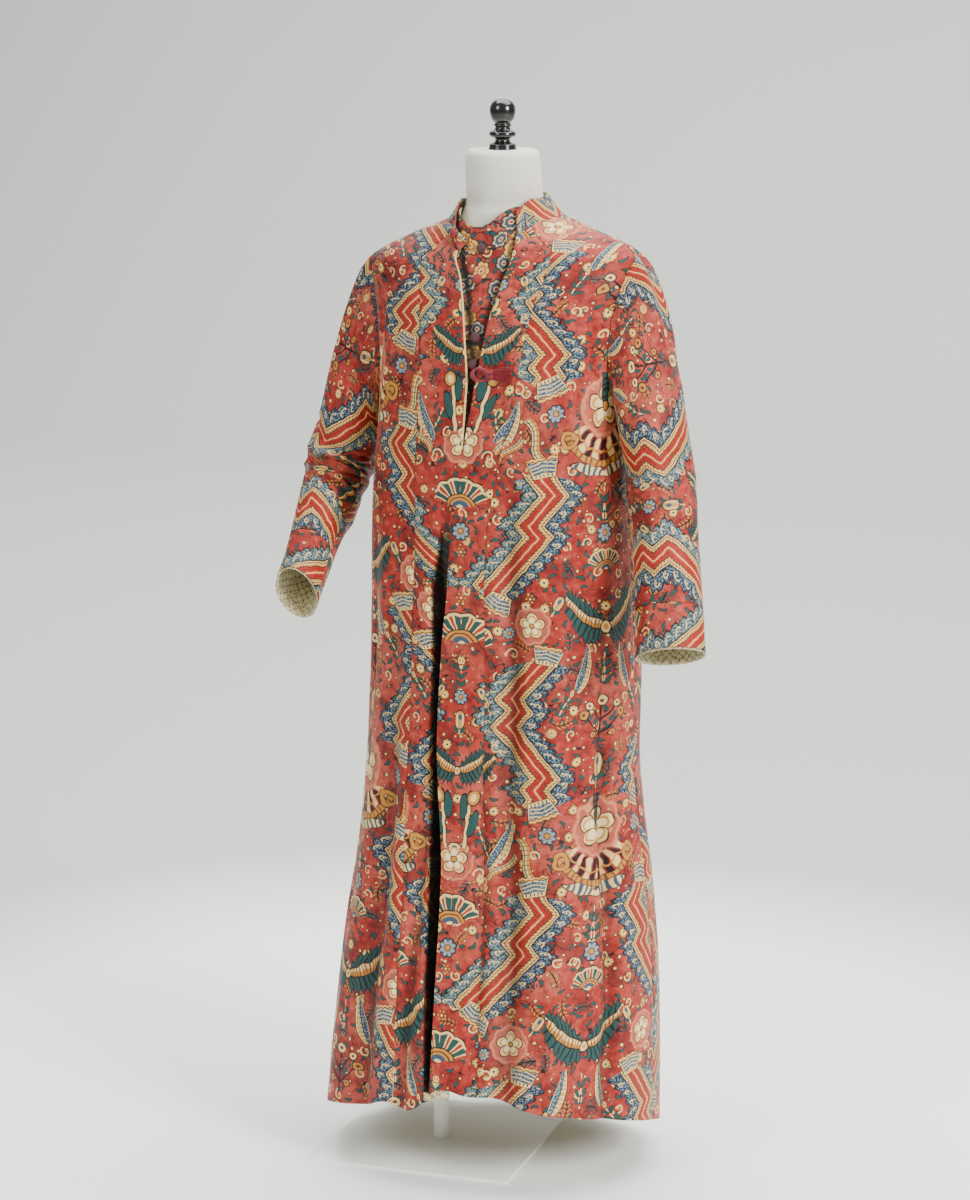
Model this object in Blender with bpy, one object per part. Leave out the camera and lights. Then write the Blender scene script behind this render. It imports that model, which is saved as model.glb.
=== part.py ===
# A man's painted-cotton banyan standing on a limbless dress form with its stand.
# Metres, +Z up. The origin is the underside centre of the stand's plate, -Y is the gown's
# front and +X is the wearer's left.
import math

import bmesh
import bpy
import numpy as np
from mathutils import Vector

# Stand and dress form
PLATE_SIDE = 0.305
PLATE_THICK = 0.004
PLATE_TURN = math.radians(4.0)
POLE_RADIUS = 0.0115
FORM_BOTTOM = 0.660
NECK_TOP = 1.486
TOUCH = 0.0003

# Where the gown's own axis stands beside the pole, and its slight lean to the wearer's right
AXIS_X = 0.088
AXIS_Y = 0.024
LEAN = 0.040

# Cloth: the painted cotton with its lining is one wall
WALL = 0.0018
LINING_WALL = 0.0011
SEAM = 0.0003

# Level sections of the gown's body, from the hem to the base of the neck
# height, half width, half depth, shift to +X, shift to +Y, squareness
SECTIONS = (
    (0.020, 0.256, 0.219, 0.000, -0.034, 2.10),
    (0.054, 0.254, 0.215, 0.000, -0.032, 2.10),
    (0.192, 0.247, 0.203, 0.000, -0.017, 2.12),
    (0.307, 0.2385, 0.190, 0.002, -0.008, 2.15),
    (0.427, 0.2245, 0.173, 0.003, 0.000, 2.18),
    (0.588, 0.206, 0.155, 0.001, 0.003, 2.20),
    (0.739, 0.2025, 0.144, 0.0035, 0.006, 2.25),
    (0.883, 0.198, 0.137, 0.002, 0.003, 2.30),
    (1.017, 0.191, 0.130, 0.000, 0.000, 2.32),
    (1.125, 0.184, 0.124, 0.000, 0.000, 2.30),
    (1.200, 0.184, 0.118, 0.000, 0.002, 2.25),
    (1.265, 0.192, 0.110, 0.000, 0.006, 2.20),
    (1.310, 0.202, 0.100, 0.000, 0.010, 2.10),
    (1.336, 0.204, 0.093, 0.000, 0.012, 1.95),
    (1.352, 0.178, 0.088, 0.000, 0.013, 1.80),
    (1.366, 0.145, 0.084, 0.000, 0.013, 1.68),
    (1.378, 0.114, 0.080, 0.000, 0.013, 1.75),
    (1.388, 0.086, 0.076, 0.000, 0.013, 2.00),
    (1.400, 0.070, 0.070, 0.000, 0.013, 2.00),
)
# Height of the hem by angle round the body, in degrees from the centre front
HEM = (
    (-180.0, 0.052),
    (-110.0, 0.056),
    (-75.0, 0.074),
    (-45.0, 0.095),
    (-31.0, 0.108),
    (-20.0, 0.122),
    (-13.0, 0.116),
    (-7.5, 0.126),
    (-3.0, 0.149),
    (9.0, 0.148),
    (15.0, 0.150),
    (25.0, 0.136),
    (42.0, 0.122),
    (67.0, 0.103),
    (82.0, 0.088),
    (110.0, 0.058),
    (180.0, 0.052),
)
# Height of the neckline by angle
NECKLINE = (
    (-180.0, 1.388),
    (-60.0, 1.388),
    (-44.0, 1.386),
    (-34.0, 1.382),
    (-26.0, 1.370),
    (-20.0, 1.357),
    (-14.0, 1.349),
    (-6.0, 1.345),
    (2.0, 1.347),
    (12.0, 1.357),
    (24.0, 1.369),
    (36.0, 1.379),
    (50.0, 1.386),
    (66.0, 1.388),
    (180.0, 1.388),
)
HEM_HEIGHT = 0.052
NECK_HEIGHT = 1.388
UNDERARM = 1.125
SHOULDER_TIP = 1.347
ARMHOLE_ANGLE = math.radians(19.0)
SLIT_END = 1.054

# Edges of the front, as angles round the body from its centre front, in degrees
# height, right seam, right edge of the slit, left edge of the slit, left seam
FRONT_LINES = (
    (0.040, -18.0, -2.0, -2.0, 11.0),
    (0.150, -18.5, -2.0, -2.0, 10.7),
    (0.330, -21.0, -2.0, -2.0, 8.8),
    (0.580, -24.5, -2.0, -2.0, 6.6),
    (0.800, -25.0, -2.0, -2.0, 5.2),
    (0.950, -23.4, -2.0, -2.0, 6.0),
    (1.054, -24.0, -2.0, -2.0, 11.0),
    (1.130, -24.2, -1.1, 0.5, 16.0),
    (1.172, -24.5, -0.8, 2.0, 18.5),
    (1.216, -25.0, -2.0, 4.0, 21.0),
    (1.257, -25.5, -3.4, 6.0, 23.0),
    (1.289, -26.0, -5.1, 8.3, 25.0),
    (1.320, -27.5, -8.0, 11.2, 28.0),
    (1.345, -29.0, -13.0, 15.5, 31.0),
    (1.366, -31.0, -16.5, 23.0, 35.0),
    (1.390, -33.0, -20.0, 31.0, 40.0),
)

# The deep fold that runs down the centre front: height, angle, depth, half width of its mouth
DEEP_FOLD = (
    (0.100, -4.6, 0.056, 0.0058),
    (0.183, -5.3, 0.056, 0.0064),
    (0.300, -7.0, 0.054, 0.0085),
    (0.420, -8.9, 0.050, 0.0080),
    (0.500, -10.0, 0.047, 0.0062),
    (0.657, -12.9, 0.042, 0.0036),
    (0.780, -12.4, 0.036, 0.0046),
    (0.877, -11.0, 0.026, 0.0085),
    (0.940, -8.9, 0.010, 0.0080),
    (1.000, -7.5, 0.000, 0.0080),
)

# Above these heights the fold's columns spread over the middle of the room they have
FOLD_LEAVES = 0.95
FOLD_SPREAD = 1.08
FOLD_PLACE = 0.55
FOLD_MARGIN = 0.010

# Section of the deep fold: place across it in half mouths, share of the depth
FOLD_SECTION = (
    (-2.60, 0.00),
    (-1.50, 0.02),
    (-1.05, 0.12),
    (-0.85, 0.45),
    (-0.62, 0.92),
    (0.00, 1.00),
    (0.62, 0.92),
    (0.85, 0.45),
    (1.05, 0.12),
    (1.50, 0.02),
    (2.60, 0.00),
)

# Soft folds of the body: angle, lean of the fold in degrees per metre up, half width in degrees,
# height out of the surface at the hem, and the heights where it is full and where it has faded
FOLDS = (
    (-15.5, 0.0, 2.6, -0.007, 0.10, 0.80),
    (9.0, 5.0, 3.0, -0.006, 0.10, 0.85),
    (20.0, 4.0, 4.5, -0.008, 0.20, 1.05),
    (38.0, 0.0, 11.0, 0.009, 0.15, 0.95),
    (62.0, 4.0, 5.0, -0.007, 0.10, 0.75),
    (-34.0, -3.0, 6.0, -0.007, 0.15, 0.80),
    (-52.0, 0.0, 8.0, 0.008, 0.12, 0.80),
    (-74.0, -3.0, 5.0, -0.006, 0.10, 0.70),
    (112.0, 0.0, 7.0, -0.010, 0.15, 0.85),
    (134.0, 2.0, 8.0, 0.010, 0.12, 0.90),
    (156.0, 0.0, 7.0, -0.012, 0.20, 1.00),
    (180.0, 0.0, 8.0, 0.010, 0.20, 1.05),
    (204.0, 0.0, 7.0, -0.012, 0.20, 1.00),
    (227.0, -2.0, 8.0, 0.010, 0.12, 0.90),
    (249.0, 0.0, 7.0, -0.010, 0.15, 0.85),
)

# Sleeves below the underarm: x, y, z of the middle, half size to the side, half size to the front
SLEEVE_RIGHT = (
    (-0.148, 0.024, 1.092, 0.047, 0.063),
    (-0.166, 0.026, 1.034, 0.049, 0.061),
    (-0.175, 0.008, 0.982, 0.044, 0.056),
    (-0.178, -0.038, 0.930, 0.035, 0.048),
    (-0.177, -0.076, 0.890, 0.0322, 0.045),
    (-0.177, -0.114, 0.850, 0.033, 0.044),
)
SLEEVE_LEFT = (
    (0.326, 0.010, 1.092, 0.047, 0.064),
    (0.340, 0.002, 1.022, 0.048, 0.060),
    (0.355, -0.022, 0.954, 0.047, 0.055),
    (0.371, -0.053, 0.887, 0.048, 0.049),
    (0.381, -0.074, 0.843, 0.049, 0.045),
    (0.391, -0.095, 0.800, 0.050, 0.042),
)
CUFF_SHARE = 0.268
CUFF_SEAM = 0.0011
# Slope of each cuff's open end: how much shorter it is in front than behind
CUFF_SLOPE = {-1: 0.33, 1: 0.0}
CUFF_LINING_START = 0.03
CUFF_LINING_END = 0.985
# The sleeve's cap: share of its way out and down as it leaves the armhole, and the strengths
# of that start and of its end
CAP_LEAN = 0.52
CAP_LEAN_CHANGE = 0.40
CAP_LEAVE = 0.56
CAP_ARRIVE = 0.70
CAP_PLACES = (-1.0, -0.86, -0.70, -0.52, -0.34, -0.16)
COLLAR_HEIGHT = 0.036
COLLAR_GAP = 0.0004
TAB_BULGE = math.radians(4.5)
TAB_DROP = 0.40
NECK_BACK = 0.013

# Lean of the collar to the neck, in degrees, by angle from the centre front
COLLAR_LEAN = (
    (0.0, 8.0),
    (26.0, 8.0),
    (46.0, 25.0),
    (66.0, 37.0),
    (112.0, 37.0),
    (150.0, 26.0),
    (180.0, 20.0),
)

# Elbow and upper-arm folds by side: place along the sleeve, angle round it from the outer side
# over the front, half length, half width in degrees, height
ELBOW_FOLDS = {
    -1: (
        (0.10, 100.0, 0.05, 55.0, -0.006),
        (0.20, 95.0, 0.04, 60.0, 0.005),
        (0.31, 100.0, 0.05, 60.0, -0.007),
        (0.26, 290.0, 0.12, 60.0, 0.004),
    ),
    1: (
        (0.12, 110.0, 0.06, 55.0, -0.004),
        (0.26, 100.0, 0.05, 55.0, 0.003),
        (0.38, 110.0, 0.06, 60.0, -0.004),
    ),
}

# Under-fronts inside the slit
UNDER_WALL = 0.0014
UNDER_INSET_LEFT = 0.0036
UNDER_INSET_RIGHT = 0.0060
UNDER_FRONT_END = 1.040
# Depths below the neckline at which the under-fronts turn from the gown's slope to the
# collar's, and the rows there
UNDER_TURN = 0.022
UNDER_TOP_ROWS = (0.026, 0.014, 0.006, 0.0)
UNDER_COLUMNS = 10
UNDER_ROWS = 8
# angle, rise of the under-fronts above the gown's neckline
UNDER_FRONT_RISE = (
    (-60.0, 0.012),
    (-36.0, 0.022),
    (-20.0, 0.044),
    (-6.0, 0.037),
    (2.0, 0.039),
    (12.0, 0.044),
    (24.0, 0.040),
    (31.0, 0.033),
    (40.0, 0.026),
    (60.0, 0.012),
)

# Buttons of the under-fronts: height, angle
BUTTONS = (
    (1.352, -0.9),
    (1.311, -0.6),
    (1.271, 0.0),
    (1.231, 0.7),
    (1.193, 0.4),
)
# Cloth-covered button: radius, height
BUTTON_PROFILE = (
    (0.0, 0.0),
    (0.0058, 0.0),
    (0.0070, 0.0012),
    (0.0068, 0.0026),
    (0.0045, 0.0042),
    (0.0, 0.0048),
)
COLLAR_BUTTON_ANGLE = -18.5
BUTTON_GAP = 0.0005
TASSEL_ANGLE = 2.2
TASSEL_HEIGHT = 1.179
# Middle of the tassel above the cloth, and the cells of its knot's end face
TASSEL_LIFT = 0.0048
TASSEL_ACROSS = 9
TASSEL_DEEP = 4
TASSEL_ROUND = 0.30
# Its knot: run, half size up and down, half size in and out
TASSEL_KNOT = (
    (0.000, 0.0022, 0.0016),
    (0.003, 0.0050, 0.0030),
    (0.008, 0.0068, 0.0040),
    (0.013, 0.0062, 0.0038),
    (0.016, 0.0044, 0.0032),
    (0.019, 0.0052, 0.0034),
)
# Its strands: run, spread of their middles, share of the cell
TASSEL_STRAND = (
    (0.0192, 1.00, 0.62),
    (0.0260, 1.45, 0.62),
    (0.0385, 2.00, 0.45),
)
TASSEL_WANDER = 0.0007
# Scrap of lining at the front hem: how far it shows, its gap below the cloth, how far behind
# the cloth's face it hangs, and its share of the deep fold's mouth
HEM_FACING_DROP = 0.011
FACING_GAP = 0.0006
FACING_BACK = 0.0005
FACING_MOUTH = 0.45

# Clearance of the form inside the gown: everywhere, more under the shoulders, at the hips and
# at its rounded lower edge, and its gap along the shoulders, which carry the cloth
FORM_CLEAR = 0.013
FORM_TOP_CLEAR = 0.006
FORM_HIP_CLEAR = 0.036
FORM_HIP = (0.88, 1.04)
FORM_EDGE = 0.016
FORM_EDGE_HEIGHT = 0.04
FORM_ROWS = (1.10, 1.18, 1.25, 1.30, 1.332)
SEAT_GAP = 0.0006
SEAT_WIDTH = 8.0
FORM_STEPS = 32
# The neck above the gown: height, radius, shift to +Y
NECK = (
    (1.398, 0.062, 0.012),
    (1.410, 0.0562, 0.010),
    (1.430, 0.0545, 0.007),
    (1.455, 0.0538, 0.003),
    (1.474, 0.0528, 0.000),
    (1.483, 0.0510, 0.000),
    (1.486, 0.0475, 0.000),
)
# Turned finial: radius, height above the neck
FINIAL_PROFILE = (
    (0.0, 0.0),
    (0.0186, 0.0),
    (0.0191, 0.0030),
    (0.0186, 0.0070),
    (0.0150, 0.0088),
    (0.0112, 0.0110),
    (0.0113, 0.0150),
    (0.0175, 0.0180),
    (0.0190, 0.0215),
    (0.0175, 0.0250),
    (0.0125, 0.0272),
    (0.0106, 0.0310),
    (0.0128, 0.0335),
    (0.0128, 0.0350),
    (0.0112, 0.0368),
    (0.0160, 0.0430),
    (0.0184, 0.0530),
    (0.0172, 0.0620),
    (0.0120, 0.0686),
    (0.0060, 0.0707),
    (0.0, 0.0712),
)

# Counts of the mesh
ARM_STEPS = 16
BACK_COLUMNS = 25
SIDE_COLUMNS = 11
BODY_ROWS_BELOW = 13
SHOULDER_ROWS = 4


def table_curve(rows, column, at):
    """Smooth value of a table's column: cubic pieces through the rows, whose slopes are the
    weighted means of the slopes of the two spans that meet in a row."""
    data = np.array(rows, float)
    x = data[:, 0]
    y = data[:, column]
    at = np.clip(at, x[0], x[-1])
    span = np.diff(x)
    slope = np.diff(y) / span
    tangent = np.empty_like(y)
    tangent[1:-1] = (slope[:-1] * span[1:] + slope[1:] * span[:-1]) / (span[:-1] + span[1:])
    tangent[0] = slope[0]
    tangent[-1] = slope[-1]
    k = np.clip(np.searchsorted(x, at, side="right") - 1, 0, len(x) - 2)
    u = (at - x[k]) / span[k]
    return ((1 + 2 * u) * (1 - u) ** 2 * y[k] + u * (1 - u) ** 2 * span[k] * tangent[k]
            + u * u * (3 - 2 * u) * y[k + 1] + u * u * (u - 1) * span[k] * tangent[k + 1])


def ease(low, high, at):
    """0 below low, 1 above high, and a smooth step between them."""
    u = np.clip((at - low) / (high - low), 0.0, 1.0)
    return u * u * (3 - 2 * u)


def power_of(value, power):
    return np.sign(value) * np.abs(value) ** power


def body_point(theta, z):
    """Point of the smooth body: a superellipse in the level plane at height z, its half sizes
    and centre read from the sections."""
    half_width = table_curve(SECTIONS, 1, z)
    half_depth = table_curve(SECTIONS, 2, z)
    power = 2.0 / table_curve(SECTIONS, 5, z)
    x = AXIS_X + table_curve(SECTIONS, 3, z) + half_width * power_of(np.sin(theta), power)
    y = AXIS_Y + table_curve(SECTIONS, 4, z) - half_depth * power_of(np.cos(theta), power)
    return np.stack([x, y, z + 0.0 * theta], -1)


def body_normal(theta, z):
    """Outward normal of the smooth body, from differences in both directions."""
    step = 0.002
    around = body_point(theta + step, z) - body_point(theta - step, z)
    up = body_point(theta, z + step) - body_point(theta, z - step)
    normal = np.cross(around, up)
    return normal / np.linalg.norm(normal, axis=-1, keepdims=True)


def fold_height(theta, z):
    """Sum of the soft folds: each is a bell across its angle, full below one height and faded
    above another."""
    degrees = np.degrees(theta)
    total = 0.0 * theta
    for angle, drift, width, height, full, faded in FOLDS:
        away = (degrees - angle - drift * z + 180.0) % 360.0 - 180.0
        total = total + height * np.exp(-(away / width) ** 2) * (1 - ease(full, faded, z))
    return total


def draped(theta, z, inset=0.0):
    """Body point moved out by the soft folds and in by the inset, along the normal."""
    return body_point(theta, z) + body_normal(theta, z) * (fold_height(theta, z) - inset)[..., None]


def draped_normal(theta, z):
    """Outward normal of the body with its soft folds."""
    step = 0.003
    around = draped(theta + step, z) - draped(theta - step, z)
    up = draped(theta, z + step) - draped(theta, z - step)
    normal = np.cross(around, up)
    return normal / np.linalg.norm(normal, axis=-1, keepdims=True)


def leaning(points):
    """Tips the upper part to the wearer's right: the height changes with x, from the waist
    to the shoulders, and not at the top of the neck."""
    points = np.array(points, float)
    share = ease(0.90, 1.30, points[..., 2]) * (1 - ease(1.41, 1.47, points[..., 2]))
    points[..., 2] += LEAN * (points[..., 0] - AXIS_X) * share
    return points


def hem_height(theta):
    return table_curve(HEM, 1, (np.degrees(theta) + 180.0) % 360.0 - 180.0)


def neck_height(theta):
    return table_curve(NECKLINE, 1, (np.degrees(theta) + 180.0) % 360.0 - 180.0)


def row_height(theta, row):
    """Height of a row of the panels, which follows the hem at the bottom and the neckline at
    the top."""
    low = 1 - ease(HEM_HEIGHT, HEM_HEIGHT + 0.45, row)
    high = np.clip((row - 1.30) / (NECK_HEIGHT - 1.30), 0, 1) ** 1.5
    return (row + low * (hem_height(theta) - HEM_HEIGHT)
            + high * (neck_height(theta) - NECK_HEIGHT))


def panel_rows():
    """Heights of the rows: even up to the end of the slit, at the sleeve's own steps along
    the armhole, and even again over the shoulder."""
    below = np.append(np.linspace(HEM_HEIGHT, SLIT_END, BODY_ROWS_BELOW),
                      (SLIT_END + UNDERARM) / 2)
    middle = (UNDERARM + SHOULDER_TIP) / 2
    half = (SHOULDER_TIP - UNDERARM) / 2
    arm = middle - half * np.cos(np.linspace(0, math.pi, ARM_STEPS // 2 + 1))
    above = np.linspace(SHOULDER_TIP, NECK_HEIGHT, SHOULDER_ROWS + 1)[1:]
    return np.concatenate([below, arm, above])


def armhole_width(row):
    """Angle from the side line to the armhole's edge: a full oval between underarm and tip."""
    middle = (UNDERARM + SHOULDER_TIP) / 2
    half = (SHOULDER_TIP - UNDERARM) / 2
    inside = np.clip(1 - ((row - middle) / half) ** 2, 0, None)
    return ARMHOLE_ANGLE * inside ** 0.4


def seam_gap_angle(z):
    """Angle that half a seam's gap takes at the body's side."""
    return SEAM / 2 / table_curve(SECTIONS, 2, z)


def grid_faces(rows, columns, closed=False):
    """Quads of a grid of points stored row after row."""
    wide = columns if closed else columns - 1
    i, j = np.meshgrid(np.arange(rows - 1), np.arange(wide), indexing="ij")
    k = (j + 1) % columns
    quads = np.stack([i * columns + j, i * columns + k, (i + 1) * columns + k,
                      (i + 1) * columns + j], -1)
    return quads.reshape(-1, 4)


def point_normals(points, faces):
    """Mean normal at each point, from the diagonals of the quads round it."""
    corner = points[faces]
    face_normal = np.cross(corner[:, 2] - corner[:, 0], corner[:, 3] - corner[:, 1])
    total = np.zeros_like(points)
    for c in range(4):
        np.add.at(total, faces[:, c], face_normal)
    return total / np.maximum(np.linalg.norm(total, axis=1, keepdims=True), 1e-12)


def wall(points, faces, thick, normals=None):
    """Closed wall: the outer sheet, the same sheet moved in by the thickness, and a rim along
    each open edge."""
    points = points.reshape(-1, 3)
    if normals is None:
        normals = point_normals(points, faces)
    inner = points - normals.reshape(-1, 3) * thick
    count = len(points)
    edges = np.concatenate([faces[:, [c, (c + 1) % 4]] for c in range(4)])
    key = edges.min(1) * count + edges.max(1)
    _, first, times = np.unique(key, return_index=True, return_counts=True)
    rim = edges[first[times == 1]]
    sides = np.stack([rim[:, 1], rim[:, 0], rim[:, 0] + count, rim[:, 1] + count], -1)
    quads = np.concatenate([faces, faces[:, ::-1] + count, sides])
    return np.concatenate([points, inner]), quads


def material(name, colour, rough=0.75, metal=0.0):
    made = bpy.data.materials.new(name)
    made.use_nodes = True
    shader = made.node_tree.nodes["Principled BSDF"]
    shader.inputs["Base Color"].default_value = (*colour, 1.0)
    shader.inputs["Roughness"].default_value = rough
    shader.inputs["Metallic"].default_value = metal
    return made


def add_object(name, points, faces, look):
    mesh = bpy.data.meshes.new(name)
    mesh.from_pydata(np.asarray(points).tolist(), [], [list(map(int, f)) for f in faces])
    mesh.validate()
    mesh.materials.append(look)
    mesh.shade_smooth()
    made = bpy.data.objects.new(name, mesh)
    bpy.context.collection.objects.link(made)
    return made


def add_wall(name, points, faces, thick, look, normals=None):
    shell, quads = wall(points, faces, thick, normals)
    return add_object(name, shell, quads, look)


def panel(name, left, right, columns, rows, look):
    """A piece of the body between two edges given as angles by row."""
    share = np.linspace(0, 1, columns)
    theta = left(rows)[:, None] * (1 - share) + right(rows)[:, None] * share
    z = row_height(theta, rows[:, None] + 0 * theta)
    points = leaning(draped(theta, z))
    add_wall(name, points, grid_faces(len(rows), columns), WALL, look, draped_normal(theta, z))


def front_angle(column, rows):
    """Angle of a front line at each row: the table is read at the height that the row has at
    that angle."""
    angle = 0.0 * rows
    for _ in range(4):
        angle = np.radians(table_curve(FRONT_LINES, column, row_height(angle, rows)))
    return angle


def front_line(column, sign):
    """Edge of a front piece from the table, half a seam's gap to one side."""
    def at(rows):
        return front_angle(column, rows) + sign * seam_gap_angle(rows)
    return at


def side_line(centre, sign):
    """Side seam and armhole edge: the angle of the side line less the armhole's width."""
    def at(rows):
        return centre + sign * (armhole_width(rows) + seam_gap_angle(rows))
    return at


def centre_columns(rows):
    """Angles and depths of the centre width's points: the part to the right of the slit with
    the deep fold across it, and the part to the left."""
    height = row_height(0.0, rows)
    right_seam = front_line(1, 1)(rows)
    slit_right = front_angle(2, rows)
    slit_left = front_angle(3, rows)
    left_seam = front_line(4, -1)(rows)
    room = slit_right - right_seam
    fold = np.radians(table_curve(DEEP_FOLD, 1, height))
    spread = ease(FOLD_LEAVES, FOLD_SPREAD, height)
    fold = fold + (right_seam + FOLD_PLACE * room - fold) * spread
    mouth = table_curve(DEEP_FOLD, 3, height) / table_curve(SECTIONS, 1, height)
    reach = FOLD_SECTION[-1][0]
    mouth = np.minimum(mouth, (slit_right - FOLD_MARGIN - fold) / reach)
    depth = table_curve(DEEP_FOLD, 2, height)
    columns = [right_seam, (right_seam + fold - reach * mouth) / 2]
    depths = [0 * rows, 0 * rows]
    for place, share in FOLD_SECTION:
        columns.append(fold + place * mouth)
        depths.append(depth * share)
    columns.append(slit_right)
    depths.append(0 * rows)
    share = np.linspace(0, 1, 4)
    left_part = slit_left[:, None] * (1 - share) + left_seam[:, None] * share
    theta = np.concatenate([np.stack(columns, 1), left_part], 1)
    inward = np.concatenate([np.stack(depths, 1), np.zeros_like(left_part)], 1)
    return theta, inward, len(columns)


def front_centre(rows, look):
    """The narrow centre width with the slit in its upper part and the deep fold below."""
    theta, inward, split = centre_columns(rows)
    z = row_height(theta, rows[:, None] + 0 * theta)
    points = leaning(draped(theta, z, inward))
    wide = theta.shape[1]
    quads = grid_faces(len(rows), wide)
    quads = quads[quads[:, 0] % wide != split - 1]
    # Below the slit both parts share the points of their common line
    joined = np.arange(len(rows) * wide)
    below = np.nonzero(row_height(0.0, rows) <= SLIT_END + 1e-6)[0]
    joined[below * wide + split] = below * wide + split - 1
    quads = joined[quads]
    used = np.unique(quads)
    compact = np.full(len(joined), -1)
    compact[used] = np.arange(len(used))
    points = points.reshape(-1, 3)[used]
    quads = compact[quads]
    # The seams keep the smooth body's normals, so that they stay parted from the next piece
    normals = point_normals(points, quads)
    smooth = draped_normal(theta, z).reshape(-1, 3)[used]
    at_seam = np.isin(used % wide, (0, wide - 1))
    normals[at_seam] = smooth[at_seam]
    add_wall("front_centre", points, quads, WALL, look, normals)


def sleeve_middle(rows_table, at):
    """Middle of the sleeve and its two half sizes at places 0 to 1 along the table."""
    table = [(i / (len(rows_table) - 1), *row) for i, row in enumerate(rows_table)]
    return [float(table_curve(table, c, at)) for c in range(1, 6)]


def armhole_loop(side, phi):
    """Loop of the armhole on the body, from the tip over the front to the underarm and back
    up behind, a seam's gap out from the body's edge."""
    middle = (UNDERARM + SHOULDER_TIP) / 2
    half = (SHOULDER_TIP - UNDERARM) / 2
    z = middle + half * np.cos(phi)
    turn = ARMHOLE_ANGLE * power_of(np.sin(phi), 0.8)
    theta = side * (math.pi / 2 - turn)
    points = draped(theta, z)
    points[..., 0] += side * SEAM
    return leaning(points)


def sleeve_ring(side, table, phi, at):
    """Ellipse square to the sleeve's middle line, from its outer side over its front, and the
    line's direction there."""
    x, y, z, to_side, to_front = sleeve_middle(table, at)
    step = 0.02
    before = np.array(sleeve_middle(table, max(at - step, 0.0))[:3])
    after = np.array(sleeve_middle(table, min(at + step, 1.0))[:3])
    along = (after - before) / np.linalg.norm(after - before)
    out = np.array([side, 0.0, 0.0])
    out = out - along * np.dot(out, along)
    out = out / np.linalg.norm(out)
    front = np.cross(along, out) * side
    slope = CUFF_SLOPE[side] * ease(0.5, 1.0, at)
    ring = (np.array([x, y, z]) + np.cos(phi)[:, None] * to_side * out
            + np.sin(phi)[:, None] * to_front * (front - slope * along))
    return ring, along


def sleeve_rings(side, table, phi, places):
    """Rings of a sleeve. Places below 0 run over the cap, from the armhole at -1, on a cubic
    curve that leaves the shoulder outwards and arrives in the sleeve's own direction; places
    from 0 to 1 are ellipses along the sleeve."""
    loop = armhole_loop(side, phi)
    first, along = sleeve_ring(side, table, phi, 0.0)
    reach = np.linalg.norm(first - loop, axis=1)[:, None]
    outward = np.array([side, 0.0, 0.0])
    lean = CAP_LEAN + CAP_LEAN_CHANGE * np.cos(phi)[:, None]
    leave = outward * lean + np.array([0, 0, -1.0]) * np.sqrt(1 - lean ** 2)
    rings = []
    for at in places:
        if at < 0:
            u = at + 1
            rings.append((2 * u ** 3 - 3 * u ** 2 + 1) * loop
                         + (u ** 3 - 2 * u ** 2 + u) * leave * reach * CAP_LEAVE
                         + (3 * u ** 2 - 2 * u ** 3) * first
                         + (u ** 3 - u ** 2) * along * reach * CAP_ARRIVE)
        else:
            rings.append(sleeve_ring(side, table, phi, at)[0])
    return np.array(rings)


def sleeve_creases(side, phi, places):
    """Soft creases of a sleeve as heights: bells across a place and an angle round it."""
    height = np.zeros((len(places), len(phi)))
    for at, angle, length, width, size in ELBOW_FOLDS[side]:
        away = (np.degrees(phi) - angle + 180.0) % 360.0 - 180.0
        height += size * np.outer(np.exp(-((places - at) / length) ** 2),
                                  np.exp(-(away / width) ** 2))
    return height


def tube(name, side, table, places, look, thick=WALL, inset=0.0):
    """A stretch of a sleeve as an open tube."""
    phi = np.linspace(0, 2 * math.pi, ARM_STEPS, endpoint=False)
    rings = sleeve_rings(side, table, phi, places)
    faces = grid_faces(len(places), ARM_STEPS, closed=True)
    if side < 0:
        faces = faces[:, ::-1]
    flat = rings.reshape(-1, 3)
    normals = point_normals(flat, faces)
    height = sleeve_creases(side, phi, places).reshape(-1, 1) - inset
    flat = flat + normals * height
    return add_wall(name, flat, faces, thick, look, normals)


def sleeves(red, pale):
    for name, side, table in (("right", -1, SLEEVE_RIGHT), ("left", 1, SLEEVE_LEFT)):
        seam = 1 - CUFF_SHARE
        below = np.linspace(0.0, seam, 10)
        tube("sleeve_" + name, side, table, np.concatenate([CAP_PLACES, below]), red)
        tube("cuff_" + name, side, table, np.linspace(seam + CUFF_SEAM, 1.0, 4), red)
        inside = np.linspace(seam + CUFF_LINING_START, CUFF_LINING_END, 4)
        tube("cuff_lining_" + name, side, table, inside, pale, LINING_WALL, WALL + 2 * SEAM)


def from_neck(points):
    """Level direction away from the middle of the neck."""
    away = (points - np.array([AXIS_X, AXIS_Y + NECK_BACK, 0.0])) * np.array([1.0, 1.0, 0.0])
    return away / np.linalg.norm(away, axis=-1, keepdims=True)


def neckline_angles():
    """Angles of the panels' own points along the neckline, from the slit's left edge round
    the back to its right edge, and how many of them lie on the right part of the centre."""
    theta, _, split = centre_columns(np.array([NECK_HEIGHT]))
    left_part = theta[0, split:]
    right_part = theta[0, :split] + 2 * math.pi
    quarter = math.pi / 2
    parts = [left_part,
             np.linspace(left_part[-1], quarter, SIDE_COLUMNS)[1:],
             np.linspace(quarter, 3 * quarter, BACK_COLUMNS)[1:],
             np.linspace(3 * quarter, right_part[0], SIDE_COLUMNS)[1:-1],
             right_part]
    return np.concatenate(parts), split


def collar_lean(theta):
    """Lean of the collar to the neck at an angle round it."""
    from_front = np.abs((np.degrees(theta) + 180.0) % 360.0 - 180.0)
    return np.radians(table_curve(COLLAR_LEAN, 1, from_front))


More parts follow.
